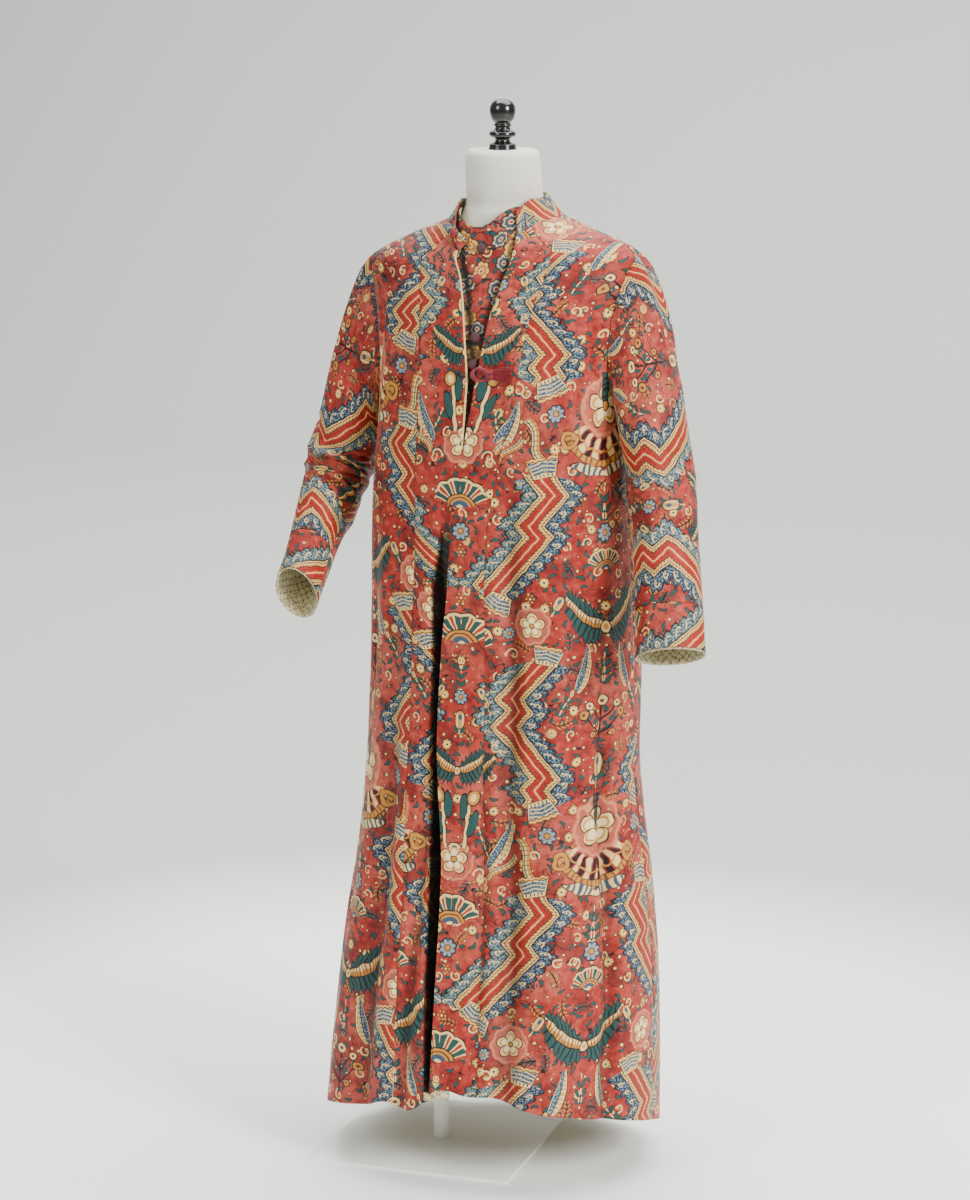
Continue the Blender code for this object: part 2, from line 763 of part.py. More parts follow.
def collar_point(theta, v):
    """Point of the collar at a share of its height, and the level direction out of the neck."""
    base = body_point(theta, neck_height(theta))
    away = from_neck(base)
    lean = collar_lean(theta)
    points = base - away * (COLLAR_HEIGHT * v * np.sin(lean))[..., None]
    points[..., 2] += COLLAR_GAP + COLLAR_HEIGHT * v * np.cos(lean)
    return leaning(points), away


def collar(look):
    """Stand band that rises from the neckline, leaning to the neck; its right end is rounded
    out in a tab."""
    angles, at_right = neckline_angles()
    columns = len(angles)
    levels = np.linspace(0, 1, 4)
    v, theta = np.meshgrid(levels, angles, indexing="ij")
    at_tab = ease(angles[-at_right], angles[-1], theta)
    v = v * (1 - TAB_DROP * at_tab)
    theta = theta + TAB_BULGE * np.sin(math.pi * v) * at_tab
    points, away = collar_point(theta, v)
    return add_wall("collar", points, grid_faces(len(levels), columns), WALL, look, away)


def under_point(theta, z, inset):
    """Point and normal of the under-fronts: inside the gown's front they follow its body, near
    the neckline the normal turns level, and above it they stand up, leaning to the neck."""
    top = neck_height(theta)
    low = np.minimum(z, top)
    normal = body_normal(theta, low)
    flat = from_neck(body_point(theta, low))
    mix = (1 - ease(0.0, UNDER_TURN, top - low))[..., None]
    mixed = normal * (1 - mix) + flat * mix
    mixed = mixed / np.linalg.norm(mixed, axis=-1, keepdims=True)
    rise = np.maximum(z - top, 0.0)
    inward = rise * np.tan(collar_lean(theta))
    points = body_point(theta, low) - mixed * inset - flat * inward[..., None]
    points[..., 2] += rise
    return points, mixed


def under_front(name, from_angle, to_angle, inset, look):
    """One of the two under-fronts."""
    theta = np.radians(np.linspace(from_angle, to_angle, UNDER_COLUMNS))[None, :]
    top = neck_height(theta)
    rise = table_curve(UNDER_FRONT_RISE, 1, np.degrees(theta))
    below = np.linspace(0, 1, UNDER_ROWS)[:-1, None]
    near_top = top - np.array(UNDER_TOP_ROWS)[:, None]
    heights = np.concatenate([UNDER_FRONT_END + (near_top[0] - UNDER_FRONT_END) * below,
                              near_top, top + rise / 2, top + rise])
    points, normals = under_point(theta + 0 * heights, heights, inset)
    faces = grid_faces(len(heights), UNDER_COLUMNS)
    return add_wall(name, leaning(points), faces, UNDER_WALL, look, normals)


def spun(name, profile, steps, middle, axis, look):
    """Turned piece: a profile of radius and height, from the axis to the axis, carried round."""
    turn = Vector((0, 0, 1)).rotation_difference(Vector(axis)).to_matrix()
    angle = np.linspace(0, 2 * math.pi, steps, endpoint=False)
    rings = [(0.0, 0.0, profile[0][1])]
    for radius, height in profile[1:-1]:
        for a in angle:
            rings.append((radius * math.cos(a), radius * math.sin(a), height))
    rings.append((0.0, 0.0, profile[-1][1]))
    points = [turn @ Vector(p) + Vector(middle) for p in rings]
    faces = []
    last = len(rings) - 1
    count = len(profile) - 2
    for j in range(steps):
        k = (j + 1) % steps
        faces.append((0, 1 + k, 1 + j))
        for i in range(count - 1):
            low = 1 + i * steps
            faces.append((low + j, low + k, low + steps + k, low + steps + j))
        top = 1 + (count - 1) * steps
        faces.append((top + j, top + k, last))
    return add_object(name, points, faces, look)


def on_front(angle, z, lift):
    """Point above the gown's surface at an angle and height, and the normal there."""
    theta = np.array([math.radians(angle)])
    height = np.array([z])
    normal = body_normal(theta, height)
    return leaning(draped(theta, height) + normal * lift)[0], normal[0]


def sewn_on(name, near, look):
    """Button on a surface, given its middle there and points beside, above and below it."""
    normal = np.cross(near[1] - near[2], near[3] - near[4])
    normal = normal / np.linalg.norm(normal)
    spun(name, BUTTON_PROFILE, 14, near[0] + normal * BUTTON_GAP, normal, look)


def buttons(look):
    step = BUTTON_PROFILE[1][0]
    beside = np.array([0, 1, -1, 0, 0])
    above = np.array([0, 0, 0, 1, -1])
    for i, (z, angle) in enumerate(BUTTONS):
        theta = math.radians(angle) + step / table_curve(SECTIONS, 1, z) * beside
        near = leaning(under_point(theta, z + step * above, UNDER_INSET_LEFT)[0])
        sewn_on(f"button_{i + 1}", near, look)
    theta = math.radians(COLLAR_BUTTON_ANGLE) + step / NECK[0][1] * beside
    near, _ = collar_point(theta, 0.5 + step / COLLAR_HEIGHT * above)
    sewn_on("collar_button", near, look)


def tassel_point(run, side, lift):
    """Point beside the tassel's line over the front: run along it, side up and lift out."""
    radius = table_curve(SECTIONS, 1, TASSEL_HEIGHT)
    at, normal = on_front(TASSEL_ANGLE + math.degrees(run / radius), TASSEL_HEIGHT, 0.0)
    return at + np.array([0.0, 0.0, side]) + normal * (TASSEL_LIFT + lift)


def tassel_cell(mesh, station, i, j):
    """Vertex of the knot's section at a corner of its cells, rounded off at its corners."""
    run, half_side, half_lift = station
    a = 2 * i / TASSEL_ACROSS - 1
    b = 2 * j / TASSEL_DEEP - 1
    rounded = 1 - TASSEL_ROUND * a * a * b * b
    return mesh.verts.new(tassel_point(run, half_side * a * rounded, half_lift * b * rounded))


def tassel(look):
    """Silk knot on the left edge of the slit, with a skirt of strands that spreads to the
    wearer's left: each strand grows from one cell of the knot's end face."""
    across = TASSEL_ACROSS
    deep = TASSEL_DEEP
    order = [(i, 0) for i in range(across + 1)]
    order += [(across, j) for j in range(1, deep)]
    order += [(i, deep) for i in range(across, -1, -1)]
    order += [(0, j) for j in range(deep - 1, 0, -1)]
    mesh = bmesh.new()
    rings = [[tassel_cell(mesh, station, i, j) for i, j in order] for station in TASSEL_KNOT]
    count = len(order)
    for first, second in zip(rings, rings[1:]):
        for j in range(count):
            k = (j + 1) % count
            mesh.faces.new((first[j], first[k], second[k], second[j]))
    mesh.faces.new(rings[0][::-1])
    end = TASSEL_KNOT[-1]
    grid = dict(zip(order, rings[-1]))
    for i in range(1, across):
        for j in range(1, deep):
            grid[(i, j)] = tassel_cell(mesh, end, i, j)
    for i in range(across):
        for j in range(deep):
            previous = [grid[(i, j)], grid[(i + 1, j)], grid[(i + 1, j + 1)], grid[(i, j + 1)]]
            a = (2 * i + 1) / across - 1
            b = (2 * j + 1) / deep - 1
            wander = TASSEL_WANDER * math.sin(12.9 * i + 7.3 * j)
            for run, spread, size in TASSEL_STRAND:
                middle = end[1] * a * spread + 1.5 * wander * (spread - 1)
                half_a = end[1] / across * size
                half_b = end[2] / deep * size
                ring = []
                for da, db in ((-1, -1), (1, -1), (1, 1), (-1, 1)):
                    point = tassel_point(run + wander * (spread - 1), middle + half_a * da,
                                         end[2] * b + half_b * db)
                    ring.append(mesh.verts.new(point))
                for c in range(4):
                    d = (c + 1) % 4
                    mesh.faces.new((previous[c], previous[d], ring[d], ring[c]))
                previous = ring
            mesh.faces.new(previous)
    bmesh.ops.recalc_face_normals(mesh, faces=mesh.faces)
    data = bpy.data.meshes.new("tassel")
    mesh.to_mesh(data)
    mesh.free()
    data.materials.append(look)
    made = bpy.data.objects.new("tassel", data)
    bpy.context.collection.objects.link(made)


def hem_facing(rows, look):
    """Scrap of lining that hangs just below the hem, from the deep fold's mouth to the left."""
    theta, _, split = centre_columns(rows[:1])
    fold = 2 + FOLD_SECTION.index((0.00, 1.00))
    beside = theta[0, fold + 3:split]
    mouth = (beside[0] - theta[0, fold]) * FACING_MOUTH
    over = theta[0, fold] + mouth * np.array([-1, 0, 1])
    past = theta[0, split + 1:split + 2]
    angle = np.concatenate([over, beside, past])
    top = hem_height(angle) - FACING_GAP
    top[:3] = top[3]
    z = top - HEM_FACING_DROP * np.linspace(1, 0, 3)[:, None]
    angle = angle + 0 * z
    normal = body_normal(angle, z)
    points = leaning(draped(angle, z) - normal * FACING_BACK)
    add_wall("hem_facing", points, grid_faces(3, angle.shape[1]), LINING_WALL, look, normal)


def dress_form(look):
    """Limbless torso with its neck: inside the gown it follows the body well clear of the
    cloth, except along the two shoulders, where the cloth rests on it."""
    angle = np.linspace(0, 2 * math.pi, FORM_STEPS, endpoint=False)
    edge = FORM_BOTTOM + FORM_EDGE_HEIGHT
    low = np.concatenate([[FORM_BOTTOM], np.linspace(edge, FORM_ROWS[0], 7), FORM_ROWS[1:]])
    seat = panel_rows()[-SHOULDER_ROWS:]
    from_ridge = np.abs(np.abs((np.degrees(angle) + 180.0) % 360.0 - 180.0) - 90.0)
    points = []
    for z in low:
        clear = FORM_CLEAR + FORM_TOP_CLEAR * ease(FORM_ROWS[1], FORM_ROWS[-1], z)
        clear += FORM_HIP_CLEAR * (1 - ease(*FORM_HIP, z))
        clear += FORM_EDGE * (1 - ease(FORM_BOTTOM, edge, z))
        at = z + 0 * angle
        level = body_normal(angle, at) * np.array([1.0, 1.0, 0.0])
        points.append(body_point(angle, at) - level * clear)
    for z in seat:
        at = z + 0 * angle
        near = np.exp(-(from_ridge / SEAT_WIDTH) ** 2)
        clear = FORM_CLEAR - (FORM_CLEAR - WALL - SEAT_GAP) * near
        points.append(body_point(angle, at) - body_normal(angle, at) * clear[:, None])
    centre = np.array([AXIS_X, AXIS_Y])
    for z, radius, shift in NECK:
        ring = np.stack([centre[0] + radius * np.sin(angle),
                         centre[1] + shift - radius * np.cos(angle), z + 0 * angle], -1)
        points.append(ring)
    rings = leaning(np.array(points))
    rings[-1][:, 2] = NECK_TOP
    flat = rings.reshape(-1, 3)
    quads = [tuple(q) for q in grid_faces(len(rings), FORM_STEPS, closed=True)]
    last = len(flat) - FORM_STEPS
    quads.append(tuple(range(FORM_STEPS))[::-1])
    quads.append(tuple(range(last, len(flat))))
    return add_object("form", flat, quads, look)


def stand(white, black):
    bpy.ops.mesh.primitive_cube_add(size=1.0, location=(0, 0, PLATE_THICK / 2))
    plate = bpy.context.object
    plate.name = "base_plate"
    plate.scale = (PLATE_SIDE, PLATE_SIDE, PLATE_THICK)
    plate.rotation_euler = (0, 0, PLATE_TURN)
    plate.data.materials.append(white)
    top = FORM_BOTTOM - TOUCH
    foot = PLATE_THICK + TOUCH
    profile = ((0, foot), (POLE_RADIUS, foot), (POLE_RADIUS, top), (0, top))
    spun("pole", profile, 28, (0, 0, 0), (0, 0, 1), white)
    spun("finial", [(r, NECK_TOP + TOUCH + z) for r, z in FINIAL_PROFILE], 18,
         (AXIS_X, AXIS_Y, 0), (0, 0, 1), black)


def main():
    for old in list(bpy.data.objects):
        bpy.data.objects.remove(old, do_unlink=True)
    red = material("painted_cotton", (0.45, 0.09, 0.07), 0.6)
    pale = material("printed_lining", (0.62, 0.56, 0.34), 0.85)
    brick = material("covered_button", (0.42, 0.07, 0.04), 0.7)
    silk = material("crimson_silk", (0.25, 0.01, 0.02), 0.5)
    linen = material("form_cover", (0.80, 0.78, 0.72), 0.8)
    white = material("white_paint", (0.82, 0.82, 0.80), 0.4)
    black = material("black_gloss", (0.01, 0.01, 0.01), 0.15)
    rows = panel_rows()
    quarter = math.pi / 2
    front_centre(rows, red)
    panel("front_left_side", front_line(4, 1), side_line(quarter, -1), SIDE_COLUMNS, rows, red)
    panel("front_right_side", side_line(-quarter, 1), front_line(1, -1), SIDE_COLUMNS, rows, red)
    panel("back", side_line(quarter, 1), side_line(3 * quarter, -1), BACK_COLUMNS, rows, red)
    sleeves(red, pale)
    collar(red)
    under_front("waistcoat_left", -8.0, 50.0, UNDER_INSET_LEFT, red)
    under_front("waistcoat_right", -52.0, 3.0, UNDER_INSET_RIGHT, red)
    buttons(brick)
    tassel(silk)
    hem_facing(rows, pale)
    dress_form(linen)
    stand(white, black)


main()
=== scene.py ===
import math

import bpy
import numpy as np
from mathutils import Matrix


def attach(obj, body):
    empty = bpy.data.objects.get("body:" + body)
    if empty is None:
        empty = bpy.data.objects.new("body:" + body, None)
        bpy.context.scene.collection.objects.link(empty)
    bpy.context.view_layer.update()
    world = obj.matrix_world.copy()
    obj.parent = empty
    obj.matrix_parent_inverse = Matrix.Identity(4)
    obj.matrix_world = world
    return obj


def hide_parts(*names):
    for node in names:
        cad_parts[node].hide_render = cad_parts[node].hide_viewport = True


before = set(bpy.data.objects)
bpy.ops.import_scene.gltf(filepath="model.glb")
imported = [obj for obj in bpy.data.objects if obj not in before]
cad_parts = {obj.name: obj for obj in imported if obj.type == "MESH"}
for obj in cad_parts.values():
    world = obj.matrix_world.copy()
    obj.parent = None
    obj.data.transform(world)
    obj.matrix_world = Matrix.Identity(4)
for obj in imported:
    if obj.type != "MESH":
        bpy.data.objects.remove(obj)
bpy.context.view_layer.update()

PLATE_SIDE = 0.305
PLATE_THICK = 0.004
PLATE_TURN = math.radians(4.0)
POLE_RADIUS = 0.0115
FORM_BOTTOM = 0.660
NECK_TOP = 1.486
TOUCH = 0.0003
AXIS_X = 0.088
AXIS_Y = 0.024
LEAN = 0.040
LEAN_FROM = (0.90, 1.30)
LEAN_TO = (1.41, 1.47)
WALL = 0.0018
LINING_WALL = 0.0011
SEAM = 0.0003

# Level sections of the body: height, half width, half depth, shift to +X, shift to +Y,
# squareness
SECTIONS = (
    (0.02, 0.256, 0.219, 0, -0.034, 2.1), (0.054, 0.254, 0.215, 0, -0.032, 2.1),
    (0.192, 0.247, 0.203, 0, -0.017, 2.12), (0.307, 0.2385, 0.19, 0.002, -0.008, 2.15),
    (0.427, 0.2245, 0.173, 0.003, 0, 2.18), (0.588, 0.206, 0.155, 0.001, 0.003, 2.2),
    (0.739, 0.2025, 0.144, 0.0035, 0.006, 2.25), (0.883, 0.198, 0.137, 0.002, 0.003, 2.3),
    (1.017, 0.191, 0.13, 0, 0, 2.32), (1.125, 0.184, 0.124, 0, 0, 2.3),
    (1.2, 0.184, 0.118, 0, 0.002, 2.25), (1.265, 0.192, 0.11, 0, 0.006, 2.2),
    (1.31, 0.202, 0.1, 0, 0.01, 2.1), (1.336, 0.204, 0.093, 0, 0.012, 1.95),
    (1.352, 0.178, 0.088, 0, 0.013, 1.8), (1.366, 0.145, 0.084, 0, 0.013, 1.68),
    (1.378, 0.114, 0.08, 0, 0.013, 1.75), (1.388, 0.086, 0.076, 0, 0.013, 2),
    (1.4, 0.07, 0.07, 0, 0.013, 2),
)
# Height of the hem by angle round the body, in degrees from the centre front
HEM = (
    (-180, 0.052), (-110, 0.056), (-75, 0.074), (-45, 0.095), (-31, 0.108), (-20, 0.122),
    (-13, 0.116), (-7.5, 0.126), (-3, 0.149), (9, 0.148), (15, 0.15), (25, 0.136), (42, 0.122),
    (67, 0.103), (82, 0.088), (110, 0.058), (180, 0.052),
)
NECKLINE = (
    (-180, 1.388), (-60, 1.388), (-44, 1.386), (-34, 1.382), (-26, 1.37), (-20, 1.357),
    (-14, 1.349), (-6, 1.345), (2, 1.347), (12, 1.357), (24, 1.369), (36, 1.379), (50, 1.386),
    (66, 1.388), (180, 1.388),
)
HEM_HEIGHT = 0.052
HEM_REACH = 0.45
NECK_HEIGHT = 1.388
NECK_START = 1.30
NECK_POWER = 1.5
UNDERARM = 1.125
SHOULDER_TIP = 1.347
ARM_MIDDLE = (UNDERARM + SHOULDER_TIP) / 2
ARM_HALF = (SHOULDER_TIP - UNDERARM) / 2
ARMHOLE_ANGLE = math.radians(19.0)
ARMHOLE_POWER = 0.8
SLIT_END = 1.054

# Edges of the front in degrees: height, right seam, the slit's two edges, left seam
FRONT_LINES = (
    (0.04, -18, -2, -2, 11), (0.15, -18.5, -2, -2, 10.7), (0.33, -21, -2, -2, 8.8),
    (0.58, -24.5, -2, -2, 6.6), (0.8, -25, -2, -2, 5.2), (0.95, -23.4, -2, -2, 6),
    (1.054, -24, -2, -2, 11), (1.13, -24.2, -1.1, 0.5, 16), (1.172, -24.5, -0.8, 2, 18.5),
    (1.216, -25, -2, 4, 21), (1.257, -25.5, -3.4, 6, 23), (1.289, -26, -5.1, 8.3, 25),
    (1.32, -27.5, -8, 11.2, 28), (1.345, -29, -13, 15.5, 31), (1.366, -31, -16.5, 23, 35),
    (1.39, -33, -20, 31, 40),
)
# The deep fold down the centre front: height, angle, depth, half width of its mouth
DEEP_FOLD = (
    (0.1, -4.6, 0.056, 0.0058), (0.183, -5.3, 0.056, 0.0064), (0.3, -7, 0.054, 0.0085),
    (0.42, -8.9, 0.05, 0.008), (0.5, -10, 0.047, 0.0062), (0.657, -12.9, 0.042, 0.0036),
    (0.78, -12.4, 0.036, 0.0046), (0.877, -11, 0.026, 0.0085), (0.94, -8.9, 0.01, 0.008),
    (1, -7.5, 0, 0.008),
)
FOLD_LEAVES = 0.95
FOLD_SPREAD = 1.08
FOLD_PLACE = 0.55
FOLD_MARGIN = 0.010
FOLD_USUAL = (0.007, 0.040)
FOLD_WIDER = (1.22, 0.0020)
# Section of the deep fold: place across it in half mouths, share of the depth
FOLD_SECTION = (
    (-2.6, 0), (-1.75, 0.02), (-1.28, 0.12), (-1.02, 0.45), (-0.75, 0.92), (0, 1), (0.75, 0.92),
    (0.95, 0.45), (1.08, 0.1), (1.4, 0.01), (2.6, 0),
)
# Soft folds: angle, lean in degrees per metre up, half width in degrees, height out of the
# surface, and the heights where it is full and where it has faded
FOLDS = (
    (-15.5, 0, 2.6, -0.012, 0.35, 0.9), (10, -5, 2.2, -0.007, 0.5, 0.95),
    (21.5, -7, 4, -0.019, 0.75, 1.12), (36, 0, 8, 0.011, 0.5, 1.02),
    (60, 4, 4, -0.015, 0.45, 0.98), (-34, -3, 4.6, -0.014, 0.45, 0.95),
    (-52, 0, 8, 0.008, 0.12, 0.8), (-74, -3, 5, -0.006, 0.1, 0.7), (112, 0, 7, -0.01, 0.15, 0.85),
    (134, 2, 8, 0.01, 0.12, 0.9), (156, 0, 7, -0.012, 0.2, 1), (180, 0, 8, 0.01, 0.2, 1.05),
    (204, 0, 7, -0.012, 0.2, 1), (227, -2, 8, 0.01, 0.12, 0.9), (249, 0, 7, -0.01, 0.15, 0.85),
)
# Creases: angle, height, half width, half length, slant, size. A crease is a
# soft trough or ridge across the body's surface.
CREASES = (
    (-60, 1.235, 0.011, 0.06, 0.45, -0.004), (-49, 1.19, 0.012, 0.075, 0.3, 0.003),
    (-38, 1.15, 0.01, 0.08, 0.22, -0.0028), (-33, 1.3, 0.014, 0.035, -0.2, 0.0022),
    (-27, 0.96, 0.013, 0.09, -0.1, -0.003), (-44, 0.87, 0.016, 0.1, 0.06, 0.0035),
    (-58, 0.78, 0.013, 0.12, 0.08, -0.0036), (60, 1.225, 0.012, 0.06, -0.5, -0.0042),
    (50, 1.185, 0.013, 0.07, -0.34, 0.003), (40, 1.13, 0.011, 0.085, -0.26, -0.0026),
    (30, 1.285, 0.014, 0.038, 0.2, 0.0022), (27, 1.02, 0.014, 0.11, -0.04, 0.003),
    (12, 0.93, 0.009, 0.12, 0.05, -0.0022), (47, 0.9, 0.014, 0.1, -0.06, -0.0034),
    (66, 0.82, 0.014, 0.12, -0.05, 0.0034), (30, 0.56, 0.012, 0.13, 0.03, -0.0028),
    (52, 0.42, 0.014, 0.13, 0.02, -0.003), (-26, 0.48, 0.009, 0.15, 0.02, 0.0026),
    (-62, 0.38, 0.013, 0.13, -0.03, 0.003), (13, 0.3, 0.008, 0.12, 0, 0.0024),
    (74, 1.06, 0.011, 0.06, -0.35, -0.0036), (-74, 1.06, 0.011, 0.06, 0.35, -0.0036),
    (112, 1.21, 0.013, 0.065, 0.45, -0.004), (124, 1.15, 0.014, 0.08, 0.3, 0.003),
    (140, 1.28, 0.015, 0.04, -0.2, -0.0024), (150, 1.02, 0.014, 0.11, 0.1, -0.0034),
    (171, 1.12, 0.016, 0.09, 0.05, 0.003), (188, 1, 0.013, 0.12, -0.06, -0.0032),
    (207, 1.09, 0.015, 0.09, -0.1, 0.0032), (222, 1.27, 0.014, 0.04, 0.22, -0.0026),
    (236, 1.16, 0.013, 0.08, -0.32, 0.0032), (248, 1.215, 0.012, 0.065, -0.46, -0.004),
    (120, 0.8, 0.015, 0.12, 0.05, 0.0034), (145, 0.64, 0.014, 0.14, 0.02, -0.0036),
    (167, 0.52, 0.013, 0.14, 0, 0.003), (192, 0.42, 0.013, 0.14, 0.02, -0.0032),
    (214, 0.6, 0.014, 0.13, -0.03, 0.0032), (240, 0.76, 0.015, 0.12, -0.05, -0.0034),
)
# The cloth's slight unevenness: size, waves round the body, waves up it, and two starts
UNEVEN = (
    (0.00055, 5, 9, 0.3, 1.1), (0.00045, 9, 17, 2, 0.4), (0.00035, 17, 31, 0.9, 2.7),
    (0.00025, 29, 53, 1.7, 0.2),
)
CREASE_SIZE = 1.35
SEAM_DIP = 0.0011
SEAM_REACH = 0.0024
SLIT_ROLL = 0.0010
SLIT_ROLL_REACH = 0.0022
SLIT_LIFT_REACH = 0.014
# Heights over the slit's end where its edges are open and where they stand fully off
SLIT_OPEN = 0.02
SLIT_OFF = 0.12
PIPING_REACH = 0.02
PIPING_FROM = 0.0186
SLIT_LIFT = (0.0030, 0.0056)
# Troughs of the under-fronts beside the slit's edges: column of the edge, place past it and
# half width in degrees, depth, and the darkness of the shade painted in them
SLIT_TROUGHS = (
    (2, 1.2, 1.6, 0.0046, 0.95), (3, -1, 1.5, 0.003, 0.8),
)
# Heights up to which the troughs beside the slit are full, and where they end
SLIT_TROUGHS_END = (1.33, 1.36)
# Painted shade inside the deep fold: most darkness, and the depths where it starts and is full
FOLD_SHADE_DARKEST = 0.92
FOLD_SHADE_DEPTHS = (0.003, 0.013)
# Painted shade in the soft folds' troughs: most darkness, and the depth where it is reached
TROUGH_SHADE = (0.45, 0.019)

SLEEVES = {
    -1: (
        (-0.148, 0.024, 1.092, 0.047, 0.063), (-0.166, 0.026, 1.034, 0.049, 0.061),
        (-0.175, 0.008, 0.982, 0.044, 0.056), (-0.178, -0.038, 0.93, 0.035, 0.048),
        (-0.177, -0.076, 0.89, 0.0322, 0.045), (-0.177, -0.114, 0.85, 0.033, 0.044),
    ),
    1: (
        (0.326, 0.01, 1.092, 0.047, 0.064), (0.34, 0.002, 1.022, 0.048, 0.06),
        (0.355, -0.022, 0.954, 0.047, 0.055), (0.371, -0.053, 0.887, 0.048, 0.049),
        (0.381, -0.074, 0.843, 0.049, 0.045), (0.391, -0.095, 0.8, 0.05, 0.042),
    ),
}
CUFF_SHARE = 0.268
CUFF_SEAM = 0.0011
CUFF_DIP_REACH = 0.008
CUFF_SLOPE = {-1: 0.33, 1: 0.0}
CUFF_LINING_START = 0.03
CAP_LEAN = 0.52
CAP_LEAN_CHANGE = 0.40
CAP_LEAVE = 0.56
CAP_ARRIVE = 0.70
SLEEVE_PAST_END = 0.36
# Folds and creases of the sleeves by side: place along the sleeve, angle round it from the
# outer side over the front, half length along, half width in degrees, slant, height
SLEEVE_FOLDS = {
    -1: (
        (0.1, 100, 0.05, 55, 0, -0.006), (0.2, 95, 0.04, 60, 0, 0.005),
        (0.31, 100, 0.05, 60, 0, -0.007), (0.26, 290, 0.12, 60, 0, 0.004),
        (0.155, 130, 0.014, 45, 0.0006, -0.0042), (0.235, 120, 0.015, 50, -0.0004, -0.0045),
        (0.375, 110, 0.017, 48, 0.0008, 0.0036), (0.43, 120, 0.016, 45, 0.0005, -0.0034),
        (0.52, 95, 0.02, 40, -0.0008, 0.0024), (0.6, 120, 0.018, 45, 0.0006, -0.0024),
        (0.06, 20, 0.02, 34, -0.0012, -0.0024), (0.265, 165, 0.012, 42, 0.0006, -0.006),
        (0.325, 158, 0.011, 44, -0.0005, -0.005), (0.395, 165, 0.013, 38, 0.0007, -0.0054),
        (0.215, 60, 0.011, 40, 0.001, -0.004), (0.31, 22, 0.02, 30, 0, 0.0044),
        (0.372, 30, 0.013, 30, 0, -0.0032), (0.28, 10, 0.016, 30, 0.0014, -0.003),
        (0.34, 350, 0.018, 32, 0.001, 0.0028), (0.45, 0, 0.02, 34, -0.0012, -0.0026),
        (0.18, 250, 0.03, 50, 0.001, -0.0034), (0.36, 240, 0.028, 46, -0.0008, -0.0034),
        (0.52, 250, 0.026, 46, 0.0008, 0.0026), (-0.45, 60, 0.06, 20, 0.001, -0.0026),
        (-0.25, 110, 0.05, 26, -0.001, -0.003), (-0.3, 330, 0.08, 18, 0.001, -0.0024),
        (-0.35, 250, 0.07, 24, 0.001, -0.0032),
    ),
    1: (
        (0.12, 110, 0.06, 55, 0, -0.004), (0.26, 100, 0.05, 55, 0, 0.003),
        (0.38, 110, 0.06, 60, 0, -0.004), (0.17, 140, 0.015, 45, 0.0006, -0.0036),
        (0.24, 130, 0.015, 46, -0.0006, -0.0034), (0.32, 140, 0.017, 42, 0.0006, -0.003),
        (0.46, 120, 0.018, 44, 0.0008, 0.0028), (0.56, 110, 0.018, 40, -0.001, -0.0024),
        (0.1, 30, 0.026, 30, -0.0014, -0.0028), (0.23, 20, 0.02, 30, 0.0014, 0.0024),
        (0.4, 30, 0.022, 34, -0.001, -0.0024), (0.64, 40, 0.022, 34, 0.001, 0.002),
        (0.15, 270, 0.028, 46, 0.001, -0.0034), (0.33, 255, 0.026, 46, -0.0008, 0.0032),
        (0.5, 260, 0.028, 44, 0.001, -0.003), (-0.5, 50, 0.06, 18, 0.001, -0.0026),
        (-0.28, 95, 0.05, 24, -0.001, -0.003), (-0.35, 340, 0.08, 18, 0.001, -0.0022),
        (-0.3, 255, 0.07, 24, 0.001, -0.0032),
    ),
}

COLLAR_HEIGHT = 0.036
COLLAR_GAP = 0.0004
COLLAR_LIFT = 0.0024
TAB_BULGE = math.radians(4.5)
TAB_DROP = 0.40
NECK_BACK = 0.013
COLLAR_LEAN = (
    (0, 8), (26, 8), (46, 25), (66, 37), (112, 37), (150, 26), (180, 20),
)
UNDER_WALL = 0.0014
UNDER_INSET_LEFT = 0.0036
UNDER_INSET_RIGHT = 0.0060
UNDER_FRONT_END = 1.040
UNDER_TURN = 0.022
UNDER_FRONT_RISE = (
    (-60, 0.012), (-36, 0.022), (-20, 0.044), (-6, 0.037), (2, 0.039), (12, 0.044), (24, 0.04),
    (31, 0.033), (40, 0.026), (60, 0.012),
)
# Buttons of the under-fronts: height, angle, and the tone of their cloth
BUTTONS = (
    (1.352, -0.9, "dark"), (1.311, -0.6, "brick"), (1.271, 0, "brick"), (1.231, 0.7, "dark"),
    (1.193, 0.4, "dark"),
)
BUTTON_PROFILE = (
    (0, 0), (0.0052, 0), (0.0064, 0.0004), (0.007, 0.0013), (0.0069, 0.0024), (0.0058, 0.0036),
    (0.0034, 0.0045), (0, 0.0048),
)
BUTTON_GAP = 0.0005
# Puckers between the buttons: size, rise over a button, half height, half width in degrees
PUCKER = (0.0007, 0.019, 0.007, 8.0)
# Worked buttonholes of the under-fronts: length, width, place beside the button, lift
BUTTONHOLE = (0.0140, 0.0034, 0.0150, 0.0004)
# A place and its neighbours: beside it either way, above it and below
SPOT = 0.0058
BESIDE = np.array([0, 1, -1, 0, 0])
ABOVE = np.array([0, 0, 0, 1, -1])
COLLAR_BUTTON_ANGLE = -18.5
BUTTONHOLE_ANGLE = 37.5
TASSEL_ANGLE = 2.2
TASSEL_HEIGHT = 1.179
TASSEL_LIFT = 0.0054
TASSEL_SCALE = 1.40
TASSEL_START = -0.0060
HEM_FACING_DROP = 0.011
FACING_GAP = 0.0006
FACING_BACK = 0.0005
FACING_MOUTH = 0.45
FACING_LIP = 0.85

